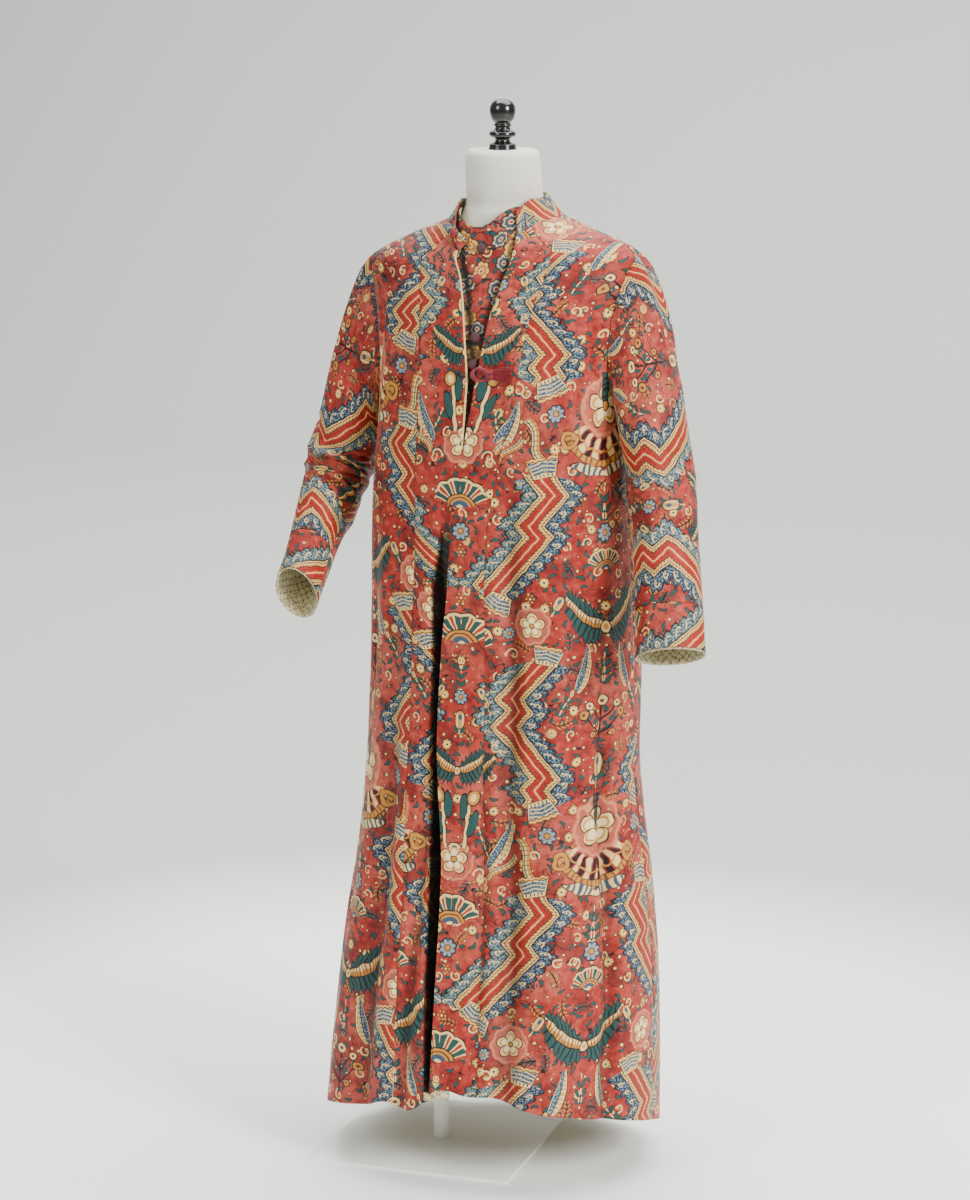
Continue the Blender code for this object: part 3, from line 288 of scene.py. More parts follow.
FORM_CLEAR = 0.013
FORM_TOP_CLEAR = 0.006
FORM_HIP_CLEAR = 0.036
FORM_HIP = (0.88, 1.04)
FORM_EDGE = 0.016
FORM_EDGE_HEIGHT = 0.04
FORM_ROWS = (1.10, 1.18, 1.25, 1.30, 1.332)
SEAT_GAP = 0.0006
SEAT_WIDTH = 8.0
NECK_EDGE = (1.4846, 1.4857, NECK_TOP)
NECK = (
    (1.398, 0.062, 0.012), (1.41, 0.0562, 0.01), (1.43, 0.0545, 0.007), (1.455, 0.0538, 0.003),
    (1.474, 0.0528, 0), (1.483, 0.051, 0), (1.486, 0.0475, 0),
)
FINIAL_PROFILE = (
    (0, 0), (0.0186, 0), (0.0191, 0.003), (0.0186, 0.007), (0.015, 0.0088), (0.0112, 0.011),
    (0.0113, 0.015), (0.0175, 0.018), (0.019, 0.0215), (0.0175, 0.025), (0.0125, 0.0272),
    (0.0106, 0.031), (0.0128, 0.0335), (0.0128, 0.035), (0.0112, 0.0368), (0.016, 0.043),
    (0.0184, 0.053), (0.0172, 0.062), (0.012, 0.0686), (0.006, 0.0707), (0, 0.0712),
)

# The photo's camera: its place, focal length on a 36 mm frame, tilt down and turn in degrees
EYE = (2.0057, -4.6714, 1.8839)
FRAME = 36.0
LENS = 106.53
TILT = 11.72
TURN = 22.5

# Counts of the fine meshes
ROWS_BELOW = 216
ROWS_TO_ARM = 15
ROWS_ARM = 48
ROWS_SHOULDER = 30
BACK_STEPS = 136
SIDE_STEPS = 60
FOLD_STEPS = 44
ROUND_SLEEVE = 96
CAP_RINGS = 44
SLEEVE_RINGS = 104
CUFF_RINGS = 34
UNDER_STEPS = 84
COLLAR_STEPS = 230
COLLAR_ROWS = 13
STRANDS = 168
SHARP = math.radians(55.0)

# The print's repeat: it is mirrored across its width and repeated up its height
TILE_WIDTH = 0.21
TILE_HEIGHT = 0.60
PRINT_START = 0.53
CHEST = (1.14, 1.32)
CHEST_HEIGHT = 1.20
CHEST_POWER = 2.25
SHOULDER = (1.20, 1.30)
SHOULDER_RUN = 0.6
# How far the print's rows on a sleeve are levelled to their mean
SLEEVE_LEVEL = 0.6
# A motif is looked for within this distance, and ends at this many of its half sizes
MOTIF_REACH = 0.08
MOTIF_EDGE = 1.06
SOFT_EDGE = 0.0006
BAND_SQUEEZE = 0.758
BAND_RUN = 1.32
# Middle lines of the two zigzag bands: height in the repeat and place across it
ZIGZAG = (
    (0, 0.075), (0.058, 0.125), (0.072, 0.113), (0.0894, 0.128), (0.1615, 0.066), (0.1836, 0.085),
    (0.201, 0.07), (0.265, 0.125), (0.352, 0.04), (0.436, 0.112), (0.452, 0.098), (0.495, 0.135),
    (0.515, 0.118), (0.6, 0.075),
)
KINDS = ("plain", "bloom", "leaves", "pod", "fan", "rosette", "sprig", "curl", "bud",
         "ribbon", "berries", "flower", "stems", "spray", "cup")
# Motifs of one repeat: kind, place across, place up, turn in degrees, half width, half length
MOTIFS = (
    ("bloom", 0.21, -0.02, 0, 0.07, 0.078), ("leaves", 0.21, 0.322, 0, 0.068, 0.058),
    ("pod", 0.176, 0.243, -14, 0.014, 0.036), ("sprig", 0.21, 0.243, 0, 0.012, 0.024),
    ("spray", 0.21, 0.165, 0, 0.048, 0.042), ("bud", 0.21, 0.094, 0, 0.018, 0.028),
    ("fan", 0.21, 0.398, 0, 0.026, 0.023), ("rosette", 0.21, 0.437, 0, 0.015, 0.015),
    ("sprig", 0.21, 0.478, 0, 0.016, 0.026), ("cup", 0.122, 0.044, 200, 0.028, 0.019),
    ("cup", 0.116, 0.53, 10, 0.028, 0.019), ("cup", 0.05, 0.338, 150, 0.027, 0.018),
    ("cup", 0.122, 0.262, -10, 0.027, 0.018), ("curl", 0.182, 0.425, 30, 0.01, 0.01),
    ("curl", 0.184, 0.458, -40, 0.01, 0.01), ("fan", 0, 0.478, 0, 0.038, 0.032),
    ("rosette", 0, 0.426, 0, 0.015, 0.015), ("berries", 0, 0.396, 0, 0.009, 0.009),
    ("flower", 0, 0.552, 0, 0.034, 0.034), ("stems", 0, 0.002, 0, 0.05, 0.06),
    ("leaves", 0, 0.094, 0, 0.054, 0.044), ("bud", 0, 0.148, 0, 0.014, 0.021),
    ("rosette", 0, 0.186, 0, 0.012, 0.012), ("sprig", 0, 0.223, 0, 0.014, 0.022),
    ("fan", 0, 0.283, 0, 0.042, 0.034), ("berries", 0, 0.33, 0, 0.01, 0.01),
    ("pod", 0.066, -0.012, -24, 0.017, 0.04), ("ribbon", 0.104, -0.03, 30, 0.017, 0.034),
    ("curl", 0.04, -0.066, 20, 0.012, 0.012), ("rosette", 0.132, 0.006, 0, 0.014, 0.014),
    ("curl", 0.078, 0.04, -70, 0.012, 0.012), ("curl", 0.07, -0.074, 120, 0.01, 0.01),
    ("flower", 0.1, 0.307, 0, 0.03, 0.03), ("curl", 0.07, 0.262, 10, 0.013, 0.013),
    ("rosette", 0.064, 0.293, 0, 0.01, 0.01), ("bud", 0.136, 0.336, -30, 0.012, 0.018),
    ("berries", 0.098, 0.346, 0, 0.009, 0.009), ("curl", 0.042, 0.528, -30, 0.01, 0.01),
    ("ribbon", 0.068, 0.556, -40, 0.013, 0.028), ("sprig", 0.04, 0.588, 30, 0.012, 0.02),
    ("sprig", 0.15, 0.196, -24, 0.012, 0.022), ("curl", 0.16, 0.15, 80, 0.01, 0.01),
    ("curl", 0.052, 0.13, 150, 0.01, 0.01), ("bud", 0.034, 0.19, 30, 0.01, 0.015),
)


def table_curve(rows, column, at):
    """Smooth value of a table's column: cubic pieces through the rows, whose slopes are the
    weighted means of the slopes of the two spans that meet in a row."""
    data = np.array(rows, float)
    x = data[:, 0]
    y = data[:, column]
    at = np.clip(at, x[0], x[-1])
    span = np.diff(x)
    slope = np.diff(y) / span
    tangent = np.empty_like(y)
    tangent[1:-1] = (slope[:-1] * span[1:] + slope[1:] * span[:-1]) / (span[:-1] + span[1:])
    tangent[0] = slope[0]
    tangent[-1] = slope[-1]
    k = np.clip(np.searchsorted(x, at, side="right") - 1, 0, len(x) - 2)
    u = (at - x[k]) / span[k]
    return ((1 + 2 * u) * (1 - u) ** 2 * y[k] + u * (1 - u) ** 2 * span[k] * tangent[k]
            + u * u * (3 - 2 * u) * y[k + 1] + u * u * (u - 1) * span[k] * tangent[k + 1])


def ease(low, high, at):
    """0 below low, 1 above high, and a smooth step between them."""
    u = np.clip((at - low) / (high - low), 0.0, 1.0)
    return u * u * (3 - 2 * u)


def bell(away, width):
    """1 in the middle, falling smoothly to nothing on both sides."""
    return np.exp(-(away / width) ** 2)


def power_of(value, power):
    return np.sign(value) * np.abs(value) ** power


def unit(vectors):
    return vectors / np.maximum(np.linalg.norm(vectors, axis=-1, keepdims=True), 1e-12)


def wrapped(degrees):
    return (degrees + 180.0) % 360.0 - 180.0


def body_point(theta, z):
    """Point of the smooth body: a superellipse in the level plane at height z."""
    half_width = table_curve(SECTIONS, 1, z)
    half_depth = table_curve(SECTIONS, 2, z)
    power = 2.0 / table_curve(SECTIONS, 5, z)
    x = AXIS_X + table_curve(SECTIONS, 3, z) + half_width * power_of(np.sin(theta), power)
    y = AXIS_Y + table_curve(SECTIONS, 4, z) - half_depth * power_of(np.cos(theta), power)
    return np.stack([x, y, z + 0.0 * theta], -1)


def normal_of(surface, theta, z, step):
    """Outward normal of a surface, from differences in both directions."""
    around = surface(theta + step, z) - surface(theta - step, z)
    up = surface(theta, z + step) - surface(theta, z - step)
    return unit(np.cross(around, up))


def body_normal(theta, z):
    return normal_of(body_point, theta, z, 0.002)


def fold_height(theta, z):
    """Sum of the soft folds: each is a bell across its angle, full below one height and faded
    above another."""
    degrees = np.degrees(theta)
    total = 0.0 * theta
    for angle, drift, width, height, full, faded in FOLDS:
        away = wrapped(degrees - angle - drift * z)
        total = total + height * bell(away, width) * (1 - ease(full, faded, z))
    return total


def trough_dark(theta, z):
    """Painted shade down in the soft folds, from nothing at the surface to full in the deepest.
    """
    return TROUGH_SHADE[0] * np.clip(-fold_height(theta, z) / TROUGH_SHADE[1], 0, 1) ** 1.2


def crease_height(theta, z):
    """Sum of the creases, each a bell across its slanting line and along it, and of a few
    products of sines for the cloth's unevenness."""
    radius = table_curve(SECTIONS, 1, z)
    total = 0.0 * theta
    for angle, height, width, length, slant, size in CREASES:
        away = np.radians(wrapped(np.degrees(theta) - angle)) * radius - slant * (z - height)
        total = total + CREASE_SIZE * size * bell(away, width) * bell(z - height, length)
    for size, round_it, up, start, second in UNEVEN:
        total = total + size * np.sin(round_it * theta + start + 2 * z) * np.sin(up * z + second)
    return total


def draped(theta, z, inset=0.0):
    """Body point moved out by the folds and creases and in by the inset, along the normal."""
    height = fold_height(theta, z) + crease_height(theta, z) - inset
    return body_point(theta, z) + body_normal(theta, z) * height[..., None]


def draped_normal(theta, z):
    return normal_of(draped, theta, z, 0.003)


def leaning(points):
    """Tips the upper part to the wearer's right: the height changes with x, from the waist
    to the shoulders, and not at the top of the neck."""
    points = np.array(points, float)
    share = ease(*LEAN_FROM, points[..., 2]) * (1 - ease(*LEAN_TO, points[..., 2]))
    points[..., 2] += LEAN * (points[..., 0] - AXIS_X) * share
    return points


def hem_height(theta):
    return table_curve(HEM, 1, wrapped(np.degrees(theta)))


def neck_height(theta):
    return table_curve(NECKLINE, 1, wrapped(np.degrees(theta)))


def row_height(theta, row):
    """Height of a row of the panels, which follows the hem at the bottom and the neckline at
    the top."""
    low = 1 - ease(HEM_HEIGHT, HEM_HEIGHT + HEM_REACH, row)
    high = np.clip((row - NECK_START) / (NECK_HEIGHT - NECK_START), 0, 1) ** NECK_POWER
    return (row + low * (hem_height(theta) - HEM_HEIGHT)
            + high * (neck_height(theta) - NECK_HEIGHT))


def panel_rows():
    """Heights of the rows: even up to the armhole, closer at its ends as on a circle, and
    even again over the shoulder."""
    below = np.linspace(HEM_HEIGHT, SLIT_END, ROWS_BELOW)
    to_arm = np.linspace(SLIT_END, UNDERARM, ROWS_TO_ARM + 2)[1:-1]
    arm = ARM_MIDDLE - ARM_HALF * np.cos(np.linspace(0, math.pi, ROWS_ARM))
    above = np.linspace(SHOULDER_TIP, NECK_HEIGHT, ROWS_SHOULDER + 1)[1:]
    return np.concatenate([below, to_arm, arm, above])


def armhole_width(row):
    """Angle from the side line to the armhole's edge: a full oval between underarm and tip."""
    inside = np.clip(1 - ((row - ARM_MIDDLE) / ARM_HALF) ** 2, 0, None)
    return ARMHOLE_ANGLE * inside ** (ARMHOLE_POWER / 2)


def seam_gap_angle(z):
    return SEAM / 2 / table_curve(SECTIONS, 2, z)


def grid_faces(rows, columns, closed=False):
    """Quads of a grid of points stored row after row."""
    wide = columns if closed else columns - 1
    i, j = np.meshgrid(np.arange(rows - 1), np.arange(wide), indexing="ij")
    k = (j + 1) % columns
    quads = np.stack([i * columns + j, i * columns + k, (i + 1) * columns + k,
                      (i + 1) * columns + j], -1)
    return quads.reshape(-1, 4)


def point_normals(points, faces):
    """Mean normal at each point, from the diagonals of the quads round it."""
    corner = points[faces]
    face_normal = np.cross(corner[:, 2] - corner[:, 0], corner[:, 3] - corner[:, 1])
    total = np.zeros_like(points)
    for c in range(4):
        np.add.at(total, faces[:, c], face_normal)
    return unit(total)


def capped_faces(rows, columns):
    """Faces of a tube of closed rings, with a flat cap on each end."""
    last = (rows - 1) * columns
    return grid_faces(rows, columns, closed=True).tolist() + [
        list(range(columns))[::-1], list(range(last, last + columns))]


def run_along(points, axis):
    """Length along each line of a grid of points, from the line's start."""
    steps = np.linalg.norm(np.diff(points, axis=axis), axis=-1)
    return np.insert(np.cumsum(steps, axis), 0, 0.0, axis)


def fill(data, word, values):
    data.foreach_set(word, values.astype(np.float32).ravel())


def new_mesh(name, points, faces, looks):
    """Smooth shaded object of its own mesh, with its materials."""
    mesh = bpy.data.meshes.new(name)
    faces = faces.tolist() if isinstance(faces, np.ndarray) else faces
    mesh.from_pydata(np.asarray(points, float).tolist(), [], faces)
    mesh.shade_smooth()
    for look in looks:
        mesh.materials.append(look)
    piece = bpy.data.objects.new(name, mesh)
    bpy.context.collection.objects.link(piece)
    return piece


def new_piece(name, points, faces, looks):
    """Mesh that rides on the body, smooth except at its sharp edges."""
    piece = new_mesh(name, points, faces, looks)
    piece.data.set_sharp_from_angle(angle=SHARP)
    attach(piece, "root")
    return piece


def nearest_motifs(place):
    """For each face, the motif it lies in and its corners in the motif's own frame. The
    face's middle is folded into one repeat, and the nearest of all the motif's images is the
    one whose half sizes its distance goes into least often."""
    middle = place.mean(1)
    fold = np.floor(middle[:, 0] / TILE_WIDTH)
    odd = fold % 2 == 1
    lift = np.floor(middle[:, 1] / TILE_HEIGHT) * TILE_HEIGHT
    across = place[..., 0] - (fold * TILE_WIDTH)[:, None]
    across = np.where(odd[:, None], TILE_WIDTH - across, across)
    up = place[..., 1] - lift[:, None]
    images = [(kind, centre, y + shift, mirror, turn, half_width, half_length)
              for kind, x, y, turn, half_width, half_length in MOTIFS
              for mirror, centre in ((1, x), (-1, -x), (-1, 2 * TILE_WIDTH - x))
              for shift in (-TILE_HEIGHT, 0.0, TILE_HEIGHT)]
    kinds = np.zeros(len(middle), int)
    frame_place = np.zeros(place.shape)
    best = np.full(len(middle), MOTIF_EDGE)
    mid_x, mid_y = across.mean(1), up.mean(1)
    for kind, x, y, mirror, turn, half_width, half_length in images:
        near = np.nonzero((np.abs(mid_x - x) < MOTIF_REACH)
                          & (np.abs(mid_y - y) < MOTIF_REACH))[0]
        cos, sin = math.cos(math.radians(turn)), math.sin(math.radians(turn))
        dx = (across[near] - x) * mirror
        dy = up[near] - y
        p = (dx * cos + dy * sin) / half_width
        q = (dy * cos - dx * sin) / half_length
        away = np.hypot(p.mean(1), q.mean(1))
        closer = away < best[near]
        chosen = near[closer]
        best[chosen] = away[closer]
        kinds[chosen] = KINDS.index(kind)
        frame_place[chosen] = np.stack([p, q], -1)[closer]
    return kinds, frame_place


def new_cloth(name, points, quads, thick, looks, normals, place, corners=None, **attributes):
    """A piece of cloth: the outer sheet, the same sheet moved in by the thickness as its
    lining, and a rim along each open edge. place holds the print's coordinates by point, in
    metres across and up the cloth; corners names the points that hold those of each quad's
    corners, where they aren't the quad's own."""
    place = place.reshape(-1, 2)[quads if corners is None else corners]
    points = points.reshape(-1, 3)
    inner = points - normals.reshape(-1, 3) * thick
    count = len(points)
    edges = np.concatenate([quads[:, [c, (c + 1) % 4]] for c in range(4)])
    key = edges.min(1) * count + edges.max(1)
    _, first, times = np.unique(key, return_index=True, return_counts=True)
    rim = edges[first[times == 1]]
    sides = np.stack([rim[:, 1], rim[:, 0], rim[:, 0] + count, rim[:, 1] + count], -1)
    faces = np.concatenate([quads, quads[:, ::-1] + count, sides])
    piece = new_piece(name, np.concatenate([points, inner]), faces, looks)
    mesh = piece.data
    by_point = np.zeros((count, 2))
    by_point[quads.ravel()] = place.reshape(-1, 2)
    by_point = np.concatenate([by_point, by_point])
    cloth_place = np.concatenate([place, place[:, ::-1], by_point[sides]])
    fill(mesh.uv_layers.new(name="cloth").data, "uv", cloth_place)
    slot = np.zeros(len(faces), np.int32)
    if len(looks) > 2:
        kind, motif_place = nearest_motifs(place)
        slot[:len(quads)] = kind
        rest = np.zeros((len(faces) - len(quads), 4, 2))
        fill(mesh.uv_layers.new(name="motif").data, "uv", np.concatenate([motif_place, rest]))
    slot[len(quads):2 * len(quads)] = len(looks) - 1
    mesh.polygons.foreach_set("material_index", slot)
    for word, values in attributes.items():
        layer = mesh.attributes.new(word, "FLOAT", "POINT")
        fill(layer.data, "value", np.tile(values.ravel(), 2))
    return piece


def around(theta, z, start):
    """Distance round the smooth body at a height, from the start angle."""
    steps = np.linspace(0, 1, 41)
    angles = start + (theta - start)[..., None] * steps
    ring = body_point(angles, z[..., None] + 0 * angles)
    length = np.linalg.norm(np.diff(ring, axis=-2), axis=-1).sum(-1)
    return np.sign(theta - start) * length


def body_print(theta, z, start):
    """The print's place on the body: distance round it from the start angle and height; over
    the chest and shoulders it passes into the level distance and the length of the curve
    that runs back over the shoulder."""
    smooth = body_point(theta, z)
    facing = 1.0 if abs(start) < 1.0 else -1.0
    upper = ease(*CHEST, z)
    across = around(theta, z, start) * (1 - upper) + facing * (smooth[..., 0] - AXIS_X) * upper
    half = table_curve(SECTIONS, 1, CHEST_HEIGHT)
    inside = np.clip(1 - np.abs((smooth[..., 0] - AXIS_X) / half) ** CHEST_POWER, 0, 1)
    half_depth = table_curve(SECTIONS, 2, CHEST_HEIGHT)
    depth = AXIS_Y - facing * half_depth * inside ** (1 / CHEST_POWER)
    back = np.clip(facing * (smooth[..., 1] - depth), 0, None)
    up = z - PRINT_START + SHOULDER_RUN * back * ease(*SHOULDER, z)
    return np.stack([across, up], -1)


def seam_dip(away, reach=SEAM_REACH):
    return SEAM_DIP * bell(away, reach)


def from_seams(theta, radius):
    """Distance to the nearer of a panel's two seams."""
    return np.minimum(theta - theta[:, :1], theta[:, -1:] - theta) * radius


def seam_columns(steps):
    """Shares across a panel: even, with closer ones beside both seams."""
    even = np.linspace(0, 1, steps)
    extra = np.array([0.18, 0.4, 0.7]) / steps
    return np.unique(np.concatenate([even, extra, 1 - extra]))


def panel(name, left, right, steps, rows, start, shift, looks):
    """A piece of the body between two edges given as angles by row, with a shallow dip along
    each seam."""
    share = seam_columns(steps)
    theta = left(rows)[:, None] * (1 - share) + right(rows)[:, None] * share
    z = row_height(theta, rows[:, None] + 0 * theta)
    below_arm = 1 - ease(UNDERARM - 0.02, UNDERARM, rows)[:, None]
    is_front = (np.arange(len(share)) > len(share) / 2) == (theta[0, 0] < 0)
    seamed = np.where(is_front & (abs(start) < 1.0), 1.0, below_arm)
    dip = seam_dip(from_seams(theta, table_curve(SECTIONS, 2, z))) * seamed
    place = body_print(theta, z, start) + np.array(shift)
    # The soft folds' troughs get painted shade through the dark attribute
    return new_cloth(name, leaning(draped(theta, z, dip)), grid_faces(*theta.shape), WALL,
                     looks, draped_normal(theta, z), place, dark=trough_dark(theta, z))


def front_angle(column, rows):
    """Angle of a front line at each row: the table is read at the height that the row has at
    that angle."""
    angle = 0.0 * rows
    rounds = 4
    for _ in range(rounds):
        angle = np.radians(table_curve(FRONT_LINES, column, row_height(angle, rows)))
    return angle


def front_line(column, sign):
    """Edge of a front piece from the table, half a seam's gap to one side."""
    def at(rows):
        return front_angle(column, rows) + sign * seam_gap_angle(rows)
    return at


def side_line(centre, sign):
    """Side seam and armhole edge: the angle of the side line less the armhole's width."""
    def at(rows):
        return centre + sign * (armhole_width(rows) + seam_gap_angle(rows))
    return at


def fold_places():
    """Places across the deep fold at even distances along its section, and their depths."""
    reach = FOLD_SECTION[-1][0]
    fine = np.linspace(-reach, reach, 1201)
    depth = table_curve(FOLD_SECTION, 1, fine)
    run = run_along(np.stack([fine, depth], -1) * FOLD_USUAL, 0)
    places = np.interp(np.linspace(0, run[-1], FOLD_STEPS), run, fine)
    return places, table_curve(FOLD_SECTION, 1, places)


def fold_mouth(half_width, height):
    """Half width of the deep fold's mouth as an angle, a little wider than in the part."""
    return (half_width * FOLD_WIDER[0] + FOLD_WIDER[1]) / table_curve(SECTIONS, 1, height)


def centre_columns(rows):
    """Angles and depths of the centre width's points: the part to the right of the slit with
    the deep fold across it, and the part to the left."""
    height = row_height(0.0, rows)
    right_seam = front_line(1, 1)(rows)
    slit_right = front_angle(2, rows)
    slit_left = front_angle(3, rows)
    left_seam = front_line(4, -1)(rows)
    room = slit_right - right_seam
    fold = np.radians(table_curve(DEEP_FOLD, 1, height))
    spread = ease(FOLD_LEAVES, FOLD_SPREAD, height)
    fold = fold + (right_seam + FOLD_PLACE * room - fold) * spread
    mouth = fold_mouth(table_curve(DEEP_FOLD, 3, height), height)
    reach = FOLD_SECTION[-1][0]
    mouth = np.minimum(mouth, (slit_right - FOLD_MARGIN - fold) / reach)
    depth = table_curve(DEEP_FOLD, 2, height)
    places, shares = fold_places()
    before = seam_columns(8)[:-1]
    after = np.array([0.3, 0.6, 0.8, 0.92, 1.0])
    fold_start = fold - reach * mouth
    fold_end = fold + reach * mouth
    right_part = np.concatenate([
        right_seam[:, None] + (fold_start - right_seam)[:, None] * before,
        fold[:, None] + places * mouth[:, None],
        fold_end[:, None] + (slit_right - fold_end)[:, None] * after], 1)
    inward = np.zeros_like(right_part)
    inward[:, len(before):len(before) + len(places)] = depth[:, None] * shares
    left_part = slit_left[:, None] + (left_seam - slit_left)[:, None] * seam_columns(14)
    theta = np.concatenate([right_part, left_part], 1)
    inward = np.concatenate([inward, np.zeros_like(left_part)], 1)
    return theta, inward, right_part.shape[1]


def front_centre(rows, looks):
    """The narrow centre width: its slit's edges roll in a little, and the right one carries a
    pale piping. The print is mirrored at the slit."""
    theta, inward, split = centre_columns(rows)
    wide = theta.shape[1]
    on_right = np.arange(wide) < split

    def past_slit(values):
        """Differences from the value at the slit's edge on the same side."""
        return values - np.where(on_right, values[:, split - 1:split], values[:, split:split + 1])

    height = row_height(0.0, rows)[:, None]
    z = row_height(theta, rows[:, None] + 0 * theta)
    radius = table_curve(SECTIONS, 1, z)
    open_part = ease(SLIT_END, SLIT_END + SLIT_OPEN, height)
    from_slit = np.abs(past_slit(theta)) * radius
    roll = SLIT_ROLL * bell(from_slit, SLIT_ROLL_REACH) * open_part
    lift = np.where(on_right, *SLIT_LIFT) * bell(from_slit, SLIT_LIFT_REACH) * ease(
        SLIT_END, SLIT_END + SLIT_OFF, height)
    raised = draped(theta, z, inward + roll - lift + seam_dip(from_seams(theta, radius)))
    place = np.stack([past_slit(run_along(raised, 1)), body_print(theta, z, 0.0)[..., 1]], -1)
    corners = grid_faces(len(rows), wide)
    corners = corners[corners[:, 0] % wide != split - 1]
    # Below the slit the two sides share their edge, and the points left over go
    joined = np.arange(len(rows) * wide)
    below = np.nonzero(height[:, 0] <= SLIT_END + 1e-6)[0] * wide + split
    joined[below] = below - 1
    used, quads = np.unique(joined[corners], return_inverse=True)
    quads = quads.reshape(-1, 4)
    points = leaning(raised).reshape(-1, 3)[used]
    normals = point_normals(points, quads)
    at_seam = np.isin(used % wide, (0, wide - 1))
    normals[at_seam] = draped_normal(theta, z).reshape(-1, 3)[used][at_seam]
    piped = (PIPING_REACH - np.clip(from_slit, 0, PIPING_REACH)) * on_right * open_part
    # Painted shade inside the deep fold and in the soft folds' troughs, kept as the dark
    # attribute
    dark = np.maximum(FOLD_SHADE_DARKEST * ease(*FOLD_SHADE_DEPTHS, inward), trough_dark(theta, z))
    return new_cloth("front_centre_cloth", points, quads, WALL, looks, normals, place, corners,
                     piped=piped.ravel()[used], dark=dark.ravel()[used])


def armhole_loop(side, phi):
    """Loop of the armhole on the body, from the tip over the front to the underarm and back
    up behind, a seam's gap out from the body's edge."""
    z = ARM_MIDDLE + ARM_HALF * np.cos(phi)
    turn = ARMHOLE_ANGLE * power_of(np.sin(phi), ARMHOLE_POWER)
    points = draped(side * (math.pi / 2 - turn), z)
    points[..., 0] += side * SEAM
    return leaning(points)


def sleeve_line(side, column, at):
    """A column of the sleeve's table at places 0 to 1 along it."""
    table = [(i / (len(SLEEVES[side]) - 1), *row) for i, row in enumerate(SLEEVES[side])]
    return table_curve(table, column, at)


def sleeve_spine(side, at):
    return np.stack([sleeve_line(side, column, at) for column in (1, 2, 3)], -1)


def sleeve_rings(side, phi, places):
    """Rings of a sleeve. Places from 0 to 1 are ellipses square to its middle line. Places
    below 0 run over the cap on a cubic curve, which leaves the armhole outwards and arrives
    in the sleeve's own direction."""
    at = np.maximum(places, 0.0)
    step = 0.02
    spine = sleeve_spine(side, at)
    along = unit(sleeve_spine(side, np.minimum(at + step, 1.0))
                 - sleeve_spine(side, np.maximum(at - step, 0.0)))
    out = unit(np.array([side, 0.0, 0.0]) - along * along[:, :1] * side)
    front = np.cross(along, out) * side
    slope = (CUFF_SLOPE[side] * ease(0.5, 1.0, at))[:, None]
    to_side = sleeve_line(side, 4, at)[:, None, None]
    to_front = sleeve_line(side, 5, at)[:, None, None]
    lower = (spine[:, None] + np.cos(phi)[:, None] * to_side * out[:, None]
             + np.sin(phi)[:, None] * to_front * (front - slope * along)[:, None])
    # Past the end of the table the rings go straight on
    lower += (np.maximum(places - 1.0, 0.0)[:, None] * along * SLEEVE_PAST_END)[:, None]
    loop = armhole_loop(side, phi)
    first = lower[0] if places[0] >= 0 else sleeve_rings(side, phi, np.array([0.0]))[0]
    reach = np.linalg.norm(first - loop, axis=1)[:, None]
    lean = CAP_LEAN + CAP_LEAN_CHANGE * np.cos(phi)[:, None]
    leave = np.array([side, 0.0, 0.0]) * lean + np.array([0, 0, -1.0]) * np.sqrt(1 - lean ** 2)
    u = (np.minimum(places, 0.0) + 1)[:, None, None]
    cap = ((2 * u ** 3 - 3 * u ** 2 + 1) * loop + (u ** 3 - 2 * u ** 2 + u) * leave * reach
           * CAP_LEAVE + (3 * u ** 2 - 2 * u ** 3) * first
           + (u ** 3 - u ** 2) * along[0] * reach * CAP_ARRIVE)
    return np.where((places < 0)[:, None, None], cap, lower)


def sleeve_creases(side, phi, places):
    """Folds and creases of a sleeve: bells across a slanting place and an angle round it."""
    height = np.zeros((len(places), len(phi)))
    for at, angle, length, width, slant, size in SLEEVE_FOLDS[side]:
        away = wrapped(np.degrees(phi) - angle)
        run = places[:, None] - at - slant * away
        height += CREASE_SIZE * size * bell(run, length) * bell(away, width)
    for size, round_it, up, start, second in UNEVEN:
        height += size * np.sin(round(round_it / 2) * phi + start) * np.sin(
            0.4 * up * places[:, None] + second)
    return height


def tube(name, side, places, looks, shift, thick=WALL, inset=0.0):
    """A stretch of a sleeve as an open tube; inset is one number or one for each ring. The
    cloth lies across the sleeve, so the print's bands run round it."""
    phi = np.linspace(-math.pi, math.pi, ROUND_SLEEVE + 1)
    rings = sleeve_rings(side, phi, places)[:, :-1]
    faces = grid_faces(len(places), ROUND_SLEEVE, closed=True)
    open_faces = grid_faces(len(places), ROUND_SLEEVE + 1)
    if side < 0:
        faces = faces[:, ::-1]
        open_faces = open_faces[:, ::-1]
    flat = rings.reshape(-1, 3)
    normals = point_normals(flat, faces)
    creases = sleeve_creases(side, phi[:-1], places)
    if places[0] < 0:
        creases = creases * ease(-1.0, -0.90, places)[:, None]
    height = (creases - (np.zeros(len(places)) + inset)[:, None]).reshape(-1, 1)
    flat = flat + normals * height
    grid = flat.reshape(len(places), ROUND_SLEEVE, 3)
    ring = np.concatenate([grid, grid[:, :1]], 1)
    run = run_along(ring, 1)
    run = run - run[:, ROUND_SLEEVE // 2][:, None]
    down = run_along(ring, 0)
    down = down - down[np.argmin(np.abs(places - max(0.0, places[0])))]
    level = down.mean(1, keepdims=True) * SLEEVE_LEVEL + down * (1 - SLEEVE_LEVEL)
    down = np.where(places[:, None] < 0, down, level)
    place = np.stack([down + shift[0], run * side + shift[1]], -1)
    return new_cloth(name, flat, faces, thick, looks, normals, place, open_faces)


def from_neck(points):
    """Level direction away from the middle of the neck."""
    return unit((points - np.array([AXIS_X, AXIS_Y + NECK_BACK, 0.0])) * np.array([1, 1, 0]))


def collar_lean(theta):
    return np.radians(table_curve(COLLAR_LEAN, 1, np.abs(wrapped(np.degrees(theta)))))


